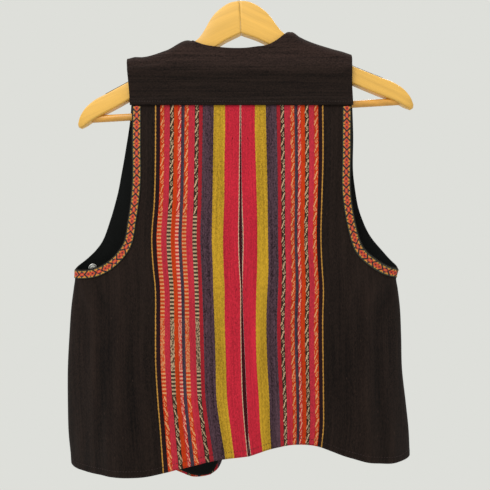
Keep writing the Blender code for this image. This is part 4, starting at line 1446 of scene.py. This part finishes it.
def yoke_points(x_share, path_share, front, depth_in):
    """Points of the yoke, depth_in below its outer face.

    x_share runs from its left edge to its right one. On the back path_share runs from the
    lower edge up to the top, and on the front from the top down to the front edge.
    """
    end_x = YOKE_LEFT["x"][-1] * (1 - x_share) + YOKE_RIGHT["x"][-1] * x_share
    curl = np.interp(end_x, YOKE_CURL["x"], YOKE_CURL["curl"]) / MM
    top = yoke_top(end_x)
    base = top - RIDGE_RADIUS * np.sin(curl * math.pi / 2)
    arc = RIDGE_RADIUS * curl * math.pi / 2
    lower_edge = top - YOKE_FRONT_DROP if front else np.full_like(top, YOKE_LOW)
    straight = np.abs(base - lower_edge)
    travelled = path_share * (straight + arc)
    if front:
        angle = np.minimum(travelled / RIDGE_RADIUS, math.pi / 2)
        drop = np.maximum(travelled - arc, 0.0)
    else:
        drop = np.maximum(straight - travelled, 0.0)
        angle = -math.pi / 2 + np.maximum(travelled - straight, 0.0) / RIDGE_RADIUS
    z = base - drop + (RIDGE_RADIUS - depth_in) * np.cos(angle)
    body = curve(base - drop, DEPTH["z"], DEPTH["front" if front else "back"])
    out = body + GAP + YOKE - depth_in
    if not front:
        fold = bpy.context.scene.folk_vest_sizes.yoke_fold
        near = np.exp(-((z - YOKE_FOLD_Z) / YOKE_FOLD_WIDTH) ** 2)
        out = out + fold * near * ramp(drop / YOKE_FOLD_START)
    left = curve(z, YOKE_LEFT["z"], YOKE_LEFT["x"])
    right = curve(z, YOKE_RIGHT["z"], YOKE_RIGHT["x"])
    x = left * (1 - x_share) + right * x_share
    return np.stack((x, out * np.sin(angle), z), axis=-1)


def yoke():
    """The folded band over both shoulders, with the back of the neck cut out of it."""
    span = YOKE_RIGHT["x"][-1] - YOKE_LEFT["x"][-1]
    neck_left = (NECK_LEFT - YOKE_LEFT["x"][-1]) / span
    neck_right = (NECK_RIGHT - YOKE_LEFT["x"][-1]) / span
    steps = np.array(EDGE_STEPS) / span
    turn = (1 - np.cos(np.linspace(0, math.pi, NECK_COLUMNS))) / 2
    shares = np.concatenate((
        [0.0], steps, np.linspace(YOKE_END, neck_left, SHOULDER_COLUMNS)[:-1],
        neck_left + (neck_right - neck_left) * turn,
        np.linspace(neck_right, 1 - YOKE_END, SHOULDER_COLUMNS)[1:], 1 - steps[::-1], [1.0]))
    over = []
    under = []
    for path, front in ((YOKE_BEHIND, False), (YOKE_BEFORE, True)):
        x_share, path_share = np.meshgrid(shares, path)
        hem = 0.0 if front else YOKE_HEM * ramp((YOKE_HEM_SHARE - path_share) / YOKE_HEM_STEP)
        over.append(yoke_points(x_share, path_share, front, -hem))
        under.append(yoke_points(x_share, path_share, front, YOKE))
    over = np.concatenate(over)
    under = np.concatenate(under)
    middle = (over + under) / 2
    left = rounded(edge_distance(middle, ("first", "last", "top", "bottom")), YOKE)
    left[len(YOKE_BEHIND) - 1, :] = 1
    over = middle + (over - middle) * left[..., None]
    under = middle + (under - middle) * left[..., None]
    shoulder = (shares[1:] < neck_left + TINY) | (shares[:-1] > neck_right - TINY)
    row = np.arange(len(over) - 1)
    used = (row[:, None] < len(YOKE_BEHIND) - 1) | shoulder[None, :]
    down = -edge_distance(middle, ("top",))
    cloth = np.stack((middle[..., 0], down, np.zeros_like(down)), axis=-1)
    made = shell("yoke_cloth", under, over, cloth, used)
    hang(made, Finishes.get("black_wool"), "black_wool", "yoke")
    return made


def swept(name, rings):
    """A closed object through rings of points, with flat ends."""
    rings = np.array(rings)
    count, around = rings.shape[:2]
    number = np.arange(count * around).reshape(count, around)
    faces = []
    for first, second in zip(number, number[1:]):
        following = np.roll(first, -1)
        beyond = np.roll(second, -1)
        faces.extend(np.column_stack((first, following, beyond, second)).tolist())
    faces.append(number[0][::-1].tolist())
    faces.append(number[-1].tolist())
    return mesh_object(name, rings.reshape(-1, 3), faces)


def tube_rings(path, radii, sides):
    """Rings of a round bar along a path in the XZ plane."""
    along = np.gradient(path, axis=0)
    along /= np.linalg.norm(along, axis=1)[:, None]
    angles = np.linspace(0, 2 * math.pi, sides, endpoint=False)
    rings = []
    for at, forward, radius in zip(path, along, radii):
        side = np.array((-forward[2], 0.0, forward[0]))
        around = np.outer(np.cos(angles), side) + np.outer(np.sin(angles), (0.0, 1.0, 0.0))
        rings.append(at + radius * around)
    return rings


def tipped(made):
    """Turn a hanger piece to the angle at which it hangs."""
    made.data.transform(Matrix.Rotation(-HANGER_TILT, 4, "Y"))
    return made


def arm_ring(top, low, thick):
    """A rounded oblong between an arm's top and lower edge."""
    middle = (top + low) / 2
    rise = top - low
    height = np.linalg.norm(rise)
    rise = rise / height
    corner = min(HANGER_CORNER, MOST_CORNER * thick, MOST_CORNER * height)
    ring = []
    for k, (sign_y, sign_z) in enumerate(((1, 1), (-1, 1), (-1, -1), (1, -1))):
        for turn in np.linspace(0.0, 1.0, CORNER_POINTS):
            angle = (k + turn) * math.pi / 2
            y = sign_y * (thick / 2 - corner) + corner * math.cos(angle)
            up = sign_z * (height / 2 - corner) + corner * math.sin(angle)
            ring.append((middle[0] + rise[0] * up, y, middle[1] + rise[1] * up))
    return ring


def hanger_arm(side):
    """One half of the hanger's wood, from the joint in its middle to the rounded end."""
    names = ("top_x", "top_z", "low_x", "low_z", "thick")
    shares = np.linspace(0, 1, ARM_RINGS)
    stations = resample(np.column_stack([ARM[name] for name in names]), shares)
    rings = []
    for station in stations:
        top = station[0:2] * (side, 1)
        low = station[2:4] * (side, 1)
        top[0] = side * max(abs(top[0]), GAP / 2)
        low[0] = side * max(abs(low[0]), GAP / 2)
        rings.append(arm_ring(top, low, station[4]))
    last = np.array(rings[-1])
    centre = last.mean(axis=0)
    for share in ARM_END_SHARES:
        bulge = np.array((side * ARM_END_OUT, 0.0, -ARM_END_DROP)) * (1 - share)
        rings.append(centre + (last - centre) * share + bulge)
    made = swept("hanger_wood_" + HAND[side], rings)
    return hang(tipped(made), Finishes.get("wood"), "hanger_wood", "hanger_" + HAND[side])


def hanger_bar():
    """The round bar between the arms."""
    path = np.linspace((-BAR_HALF, 0.0, BAR_Z), (BAR_HALF, 0.0, BAR_Z), BAR_RINGS)
    made = swept("hanger_bar_wood", tube_rings(path, np.full(BAR_RINGS, BAR_RADIUS), BAR_SIDES))
    # Its wood is darker than the arms' wood: painted shade
    return hang(tipped(made), Finishes.get("bar_wood_painted_shade"), "hanger_wood", "hanger_bar")


def hook():
    """The wire hook, from its foot in the wood over the rail to its rounded tip."""
    radius = HOOK_RADIUS + WIRE_RADIUS
    neck = CROWN_TOP + HOOK_NECK
    foot = CROWN_TOP - SHANK_DEPTH
    points = [(x, 0.0, neck + rise) for x, rise in zip(HOOK_BEND["x"], HOOK_BEND["rise"])]
    for degrees in range(*HOOK_TURN):
        angle = math.radians(degrees)
        points.append((radius * math.cos(angle), 0.0, -HOOK_RADIUS + radius * math.sin(angle)))
    upper = resample(np.array(points), np.linspace(0, 1, HOOK_RINGS))
    shank = np.linspace((0.0, 0.0, foot), (0.0, 0.0, neck), SHANK_RINGS)[:-1]
    path = np.vstack((shank, upper))
    radii = np.full(len(path), WIRE_RADIUS)
    radii[-len(HOOK_TIP):] = WIRE_RADIUS * np.array(HOOK_TIP)
    made = swept("hook_wire", tube_rings(path, radii, WIRE_SIDES))
    return hang(tipped(made), Finishes.get("steel"), "steel", "hook")


def grip(side):
    """A thin ribbed rubber strip along the top of an arm."""
    along = np.linspace(GRIP_START, GRIP_END, GRIP_ROWS)
    height = curve(along, ARM["top_x"], ARM["top_z"])
    slope = np.gradient(height, along)
    out = np.column_stack((-slope * side, np.zeros(GRIP_ROWS), np.ones(GRIP_ROWS)))
    out /= np.linalg.norm(out, axis=1)[:, None]
    middle = np.column_stack((along * side, np.zeros(GRIP_ROWS), height))
    wide = np.linspace(-GRIP_WIDTH / 2, GRIP_WIDTH / 2, GRIP_COLUMNS)
    crown = np.clip(1 - (np.abs(wide) / (GRIP_WIDTH / 2)) ** GRIP_SQUARENESS, 0, 1)
    crown = GRIP_EDGE + (1 - GRIP_EDGE) * crown
    grids = []
    for thickness in (0.0, GRIP_THICKNESS):
        lift = 2 * GAP + thickness * crown
        sideways = np.stack((0 * wide, wide, 0 * wide), axis=-1)
        grids.append(middle[:, None] + out[:, None] * lift[None, :, None] + sideways[None])
    made = shell("grip_strip_" + HAND[side], *grids, np.zeros(grids[0].shape))
    return hang(tipped(made), Finishes.get("rubber"), "grip_rubber", "grip_" + HAND[side])


def stud_disc(name, node, low, high):
    """A round metal cap with a rolled rim, a groove and a raised middle."""
    surface = Body.surface(-1, True)
    c = surface.across(STUD_X, STUD_Z)
    at = surface.place(c, STUD_Z)
    out = surface.place(c, STUD_Z, 1.0) - at
    side = np.cross(out, (0.0, 0.0, 1.0))
    side /= np.linalg.norm(side)
    up = np.cross(side, out)
    angles = np.linspace(0, 2 * math.pi, STUD_SIDES, endpoint=False)
    around = np.outer(np.cos(angles), side) + np.outer(np.sin(angles), up)
    rings = [at + out * (low + share * (high - low)) + around * radius * STUD_RADIUS
             for share, radius in STUD_PROFILE]
    made = swept(name, rings)
    return hang(made, Finishes.get("steel"), "steel", node)


def stitch_tree():
    """A node group that sews a row of stitches along a line of points."""
    tree = bpy.data.node_groups.new("Stitch Row", "GeometryNodeTree")
    face = tree.interface
    face.new_socket("Line", in_out="INPUT", socket_type="NodeSocketGeometry")
    for name in ("Stitch Length", "Spacing", "Thread Radius"):
        face.new_socket(name, in_out="INPUT", socket_type="NodeSocketFloat")
    face.new_socket("Thread", in_out="INPUT", socket_type="NodeSocketMaterial")
    face.new_socket("Stitches", in_out="OUTPUT", socket_type="NodeSocketGeometry")
    nodes = {}
    kinds = {
        "start": "NodeGroupInput", "end": "NodeGroupOutput", "line": "GeometryNodeMeshToCurve",
        "even": "GeometryNodeResampleCurve", "ball": "GeometryNodeMeshUVSphere",
        "size": "ShaderNodeCombineXYZ", "half": "ShaderNodeMath", "tangent": "GeometryNodeInputTangent",
        "turn": "FunctionNodeAlignRotationToVector", "place": "GeometryNodeInstanceOnPoints",
        "jitter": "FunctionNodeRandomValue", "vary": "ShaderNodeVectorMath",
        "real": "GeometryNodeRealizeInstances", "dye": "GeometryNodeSetMaterial"}
    for key, kind in kinds.items():
        nodes[key] = tree.nodes.new(kind)
    nodes["even"].mode = "LENGTH"
    nodes["ball"].inputs["Segments"].default_value = 6
    nodes["ball"].inputs["Rings"].default_value = 5
    nodes["ball"].inputs["Radius"].default_value = 1.0
    nodes["half"].operation = "MULTIPLY"
    nodes["half"].inputs[1].default_value = 0.5
    nodes["turn"].axis = "X"
    nodes["jitter"].data_type = "FLOAT_VECTOR"
    nodes["jitter"].inputs["Min"].default_value = STITCH_LEAST
    nodes["jitter"].inputs["Max"].default_value = STITCH_MOST
    nodes["jitter"].inputs["Seed"].default_value = STITCH_SEED
    nodes["vary"].operation = "MULTIPLY"
    links = (
        ("start", "Line", "line", 0), ("line", 0, "even", "Curve"),
        ("start", "Spacing", "even", "Length"), ("even", 0, "place", "Points"),
        ("ball", 0, "place", "Instance"), ("tangent", 0, "turn", "Vector"),
        ("turn", 0, "place", "Rotation"), ("start", "Stitch Length", "half", 0),
        ("half", 0, "size", 0), ("start", "Thread Radius", "size", 1),
        ("start", "Thread Radius", "size", 2), ("size", 0, "vary", 0), ("jitter", 0, "vary", 1),
        ("vary", 0, "place", "Scale"), ("place", 0, "real", 0), ("real", 0, "dye", 0),
        ("start", "Thread", "dye", "Material"), ("dye", 0, "end", 0))
    for first, out_key, second, in_key in links:
        tree.links.new(nodes[first].outputs[out_key], nodes[second].inputs[in_key])
    return tree


def sew(name, lines, thread, slot, length, spacing, radius):
    """Stitches along one or more lines of points, as one plain mesh."""
    points = []
    edges = []
    for line in lines:
        start = len(points)
        points.extend(tuple(point) for point in line)
        edges.extend((start + k, start + k + 1) for k in range(len(line) - 1))
    mesh = bpy.data.meshes.new(name + "_line")
    mesh.from_pydata(points, edges, [])
    guide = bpy.data.objects.new(name + "_line", mesh)
    tree = bpy.data.node_groups.get("Stitch Row") or stitch_tree()
    modifier = guide.modifiers.new("Stitches", "NODES")
    modifier.node_group = tree
    values = {
        "Stitch Length": length, "Spacing": spacing, "Thread Radius": radius,
        "Thread": Finishes.get(thread)}
    for item in tree.interface.items_tree:
        if item.in_out == "INPUT" and item.name in values:
            modifier[item.identifier] = values[item.name]
    bpy.context.scene.collection.objects.link(guide)
    graph = bpy.context.evaluated_depsgraph_get()
    made_mesh = bpy.data.meshes.new_from_object(guide.evaluated_get(graph))
    bpy.data.objects.remove(guide)
    made_mesh.name = name
    made_mesh.shade_smooth()
    made = bpy.data.objects.new(name, made_mesh)
    bpy.context.scene.collection.objects.link(made)
    return hang(made, Finishes.get(thread), slot)


def hem_lines(side, front):
    """The lines of the hem's stitches on a panel."""
    surface = Body.surface(side, front)
    hem = surface.edge(HEMS[side, front])
    lines = []
    for distance in HEM_ROWS:
        line = resample(hem, np.linspace(*HEM_SEWN))
        line[:, 1] += distance
        lines.append(surface.place(line[:, 0], line[:, 1], HEM_THREAD_LIFT))
    return lines


def ribbon_lines(side, front):
    """Lines near both edges of the ribbon on one surface."""
    surface, grid = ribbon_rows(side, front)
    lines = []
    for share in RIBBON_SEWN:
        column = int(round(share * (grid.shape[1] - 1)))
        line = grid[SEWN_ROWS, column]
        lines.append(surface.place(line[:, 0], line[:, 1], GAP + RIBBON + RIBBON_THREAD_LIFT))
    return lines


def yoke_line(distance):
    """A line across the back of the yoke at a distance from its lower edge."""
    x_share = np.linspace(*YOKE_SEWN)
    low = yoke_points(x_share, np.zeros_like(x_share), False, -YOKE_HEM)
    high = yoke_points(x_share, np.full_like(x_share, YOKE_PROBE), False, -YOKE_HEM)
    share = YOKE_PROBE * distance / np.linalg.norm(high - low, axis=1)
    return yoke_points(x_share, share, False, -YOKE_HEM)


class FolkVestSizes(bpy.types.PropertyGroup):
    """Sizes of the cloth's finish."""

    thread: FloatProperty(
        name="Warp Thread", description="Width of one warp thread", default=0.88 * MM,
        min=0.3 * MM, max=3 * MM, unit="LENGTH", precision=5)
    pick: FloatProperty(
        name="Pick", description="Height of one pick of the weave", default=1.29 * MM,
        min=0.3 * MM, max=3 * MM, unit="LENGTH", precision=5)
    crease_strength: FloatProperty(
        name="Creases", description="How deep the creases are", default=1.0, min=0.0, max=2.0,
        subtype="FACTOR")
    hem_depth: FloatProperty(
        name="Hem", description="Depth of the turned-up hem", default=9.0 * MM, min=3 * MM,
        max=30 * MM, unit="LENGTH", precision=4)
    yoke_fold: FloatProperty(
        name="Yoke Fold", description="How far the soft fold across the yoke stands out",
        default=1.6 * MM, min=0.0, max=3 * MM, unit="LENGTH", precision=5)
    stitch: FloatProperty(
        name="Stitch", description="Length of a hem stitch", default=2.4 * MM, min=1 * MM,
        max=6 * MM, unit="LENGTH", precision=5)


class FolkVestColours(bpy.types.PropertyGroup):
    """Main colours of the vest."""

    crimson: FloatVectorProperty(
        name="Crimson", description="Stripes beside the centre seam", subtype="COLOR",
        default=seen(YARNS["crimson"][0])[:3], min=0.0, max=1.0)
    yellow: FloatVectorProperty(
        name="Yellow", description="Broad yellow stripes", subtype="COLOR",
        default=seen(YARNS["yellow"][0])[:3], min=0.0, max=1.0)
    black_wool: FloatVectorProperty(
        name="Black Wool", description="Yoke and side fields", subtype="COLOR",
        default=seen(YARNS["black"][0])[:3], min=0.0, max=1.0)
    wood: FloatVectorProperty(
        name="Wood", description="The hanger's varnished wood", subtype="COLOR",
        default=seen(COLOURS["wood"])[:3], min=0.0, max=1.0)


class FOLKVEST_OT_back(bpy.types.Operator):
    """Make the two halves of the back"""

    bl_idname = "folk_vest.back"
    bl_label = "Back"

    def execute(self, context):
        for side in (-1, 1):
            panel(side, False)
        return {"FINISHED"}


class FOLKVEST_OT_fronts(bpy.types.Operator):
    """Make the two fronts and their linings"""

    bl_idname = "folk_vest.fronts"
    bl_label = "Fronts and Linings"

    def execute(self, context):
        for side in (-1, 1):
            panel(side, True)
            lining(side)
        return {"FINISHED"}


class FOLKVEST_OT_yoke(bpy.types.Operator):
    """Make the folded shoulder yoke"""

    bl_idname = "folk_vest.yoke"
    bl_label = "Yoke"

    def execute(self, context):
        yoke()
        return {"FINISHED"}


class FOLKVEST_OT_ribbons(bpy.types.Operator):
    """Make the patterned ribbon round each armhole"""

    bl_idname = "folk_vest.ribbons"
    bl_label = "Ribbons"

    def execute(self, context):
        for side in (-1, 1):
            ribbon(side)
        return {"FINISHED"}


class FOLKVEST_OT_stitches(bpy.types.Operator):
    """Sew the rows of stitches along the hems, the ribbons and the yoke"""

    bl_idname = "folk_vest.stitches"
    bl_label = "Stitches"

    def execute(self, context):
        length = context.scene.folk_vest_sizes.stitch
        quarters = [(side, front) for side in (-1, 1) for front in (False, True)]
        hems = [line for quarter in quarters for line in hem_lines(*quarter)]
        ribbons = [line for quarter in quarters for line in ribbon_lines(*quarter)]
        sew("hem_stitches", hems, "hem_thread", "handweave", length, *HEM_STITCH)
        sew("ribbon_stitches", ribbons, "dark_thread", "ribbon", RIBBON_STITCH, *FINE_STITCH)
        sew("yoke_stitches", [yoke_line(YOKE_ROW)], "dark_thread", "black_wool", length,
            *YOKE_STITCH)
        return {"FINISHED"}


class FOLKVEST_OT_stud(bpy.types.Operator):
    """Make the snap stud's cap and socket"""

    bl_idname = "folk_vest.stud"
    bl_label = "Snap Stud"

    def execute(self, context):
        outside = GAP + RIBBON + GAP
        stud_disc("stud_cap_metal", "stud_cap", outside, outside + STUD_THICKNESS)
        inside = -(PANEL + GAP + LINING + STUD_CLEARANCE)
        stud_disc("stud_socket_metal", "stud_socket", inside, inside - STUD_THICKNESS)
        return {"FINISHED"}


class FOLKVEST_OT_hanger(bpy.types.Operator):
    """Make the wooden hanger with its bar, hook and grip strips"""

    bl_idname = "folk_vest.hanger"
    bl_label = "Hanger"

    def execute(self, context):
        for side in (-1, 1):
            hanger_arm(side)
            grip(side)
        hanger_bar()
        hook()
        return {"FINISHED"}


class FOLKVEST_OT_stage(bpy.types.Operator):
    """Make the floor, light and camera"""

    bl_idname = "folk_vest.stage"
    bl_label = "Stage"

    def execute(self, context):
        floor()
        lights()
        camera()
        return {"FINISHED"}


def floor():
    """A round pale floor far below the vest."""
    angles = np.linspace(0, 2 * math.pi, FLOOR_SIDES, endpoint=False)
    ring = [(FLOOR_RADIUS * math.cos(a), FLOOR_RADIUS * math.sin(a), FLOOR_Z) for a in angles]
    mesh = bpy.data.meshes.new("floor")
    mesh.from_pydata(ring, [], [list(range(FLOOR_SIDES))])
    made = bpy.data.objects.new("floor", mesh)
    bpy.context.scene.collection.objects.link(made)
    finish = Finish("floor_paint", "paint")
    _, _, _, vector = finish.here()
    finish.tint(seen(COLOURS["floor"]), "paint", drift=finish.noise(vector, FLOOR_SCALE))
    made.data.materials.append(finish.material)


def lights():
    """Soft light from all round, stronger from above, and two large soft lamps."""
    world = bpy.data.worlds.new("studio")
    bpy.context.scene.world = world
    world.use_nodes = True
    nodes = Nodes(world.node_tree)
    _, _, height, _ = nodes.parts(nodes.node("ShaderNodeTexCoord").outputs["Generated"])
    tones, _ = nodes.stops((height + 1.0) / 2.0, WORLD_TONES, "LINEAR")
    nodes.feed(world.node_tree.nodes["Background"].inputs["Color"], tones)
    for name, place, size, power in LAMPS:
        lamp = bpy.data.lights.new(name, "AREA")
        lamp.size = size
        lamp.energy = power
        made = bpy.data.objects.new(name, lamp)
        made.location = place
        aim = Vector(LAMP_AIM) - Vector(place)
        made.rotation_euler = aim.to_track_quat("-Z", "Y").to_euler()
        bpy.context.scene.collection.objects.link(made)
    bpy.context.scene.view_settings.view_transform = "Standard"


def camera():
    """The camera behind the vest, level, at the photo's distance."""
    data = bpy.data.cameras.new("camera")
    data.sensor_width = SENSOR
    data.lens = SENSOR * -CAMERA_PLACE[1] / VIEW_WIDTH
    made = bpy.data.objects.new("camera", data)
    made.location = CAMERA_PLACE
    made.rotation_euler = (math.radians(90), 0, 0)
    bpy.context.scene.collection.objects.link(made)
    bpy.context.scene.camera = made


OPERATORS = (
    FOLKVEST_OT_back, FOLKVEST_OT_fronts, FOLKVEST_OT_yoke, FOLKVEST_OT_ribbons,
    FOLKVEST_OT_stitches, FOLKVEST_OT_stud, FOLKVEST_OT_hanger, FOLKVEST_OT_stage)


class FOLKVEST_PT_panel(bpy.types.Panel):
    """Sizes, colours and makers of the vest"""

    bl_idname = "FOLKVEST_PT_panel"
    bl_label = "Folk Vest"
    bl_space_type = "VIEW_3D"
    bl_region_type = "UI"
    bl_category = "Folk Vest"

    def draw(self, context):
        layout = self.layout
        for group in (context.scene.folk_vest_sizes, context.scene.folk_vest_colours):
            for name in group.bl_rna.properties.keys():
                if name not in ("name", "rna_type"):
                    layout.prop(group, name)
        for operator in OPERATORS:
            layout.operator(operator.bl_idname)


CLASSES = (FolkVestSizes, FolkVestColours, *OPERATORS, FOLKVEST_PT_panel)


def register():
    """Register the add-on's classes and its two groups of settings."""
    for cls in CLASSES:
        bpy.utils.register_class(cls)
    bpy.types.Scene.folk_vest_sizes = PointerProperty(type=FolkVestSizes)
    bpy.types.Scene.folk_vest_colours = PointerProperty(type=FolkVestColours)


def unregister():
    """Remove the settings and classes again."""
    del bpy.types.Scene.folk_vest_colours
    del bpy.types.Scene.folk_vest_sizes
    for cls in reversed(CLASSES):
        bpy.utils.unregister_class(cls)


def main():
    """Make every piece and the stage."""
    register()
    for operator in OPERATORS:
        group, name = operator.bl_idname.split(".")
        getattr(getattr(bpy.ops, group), name)()


if __name__ == "__main__":
    main()
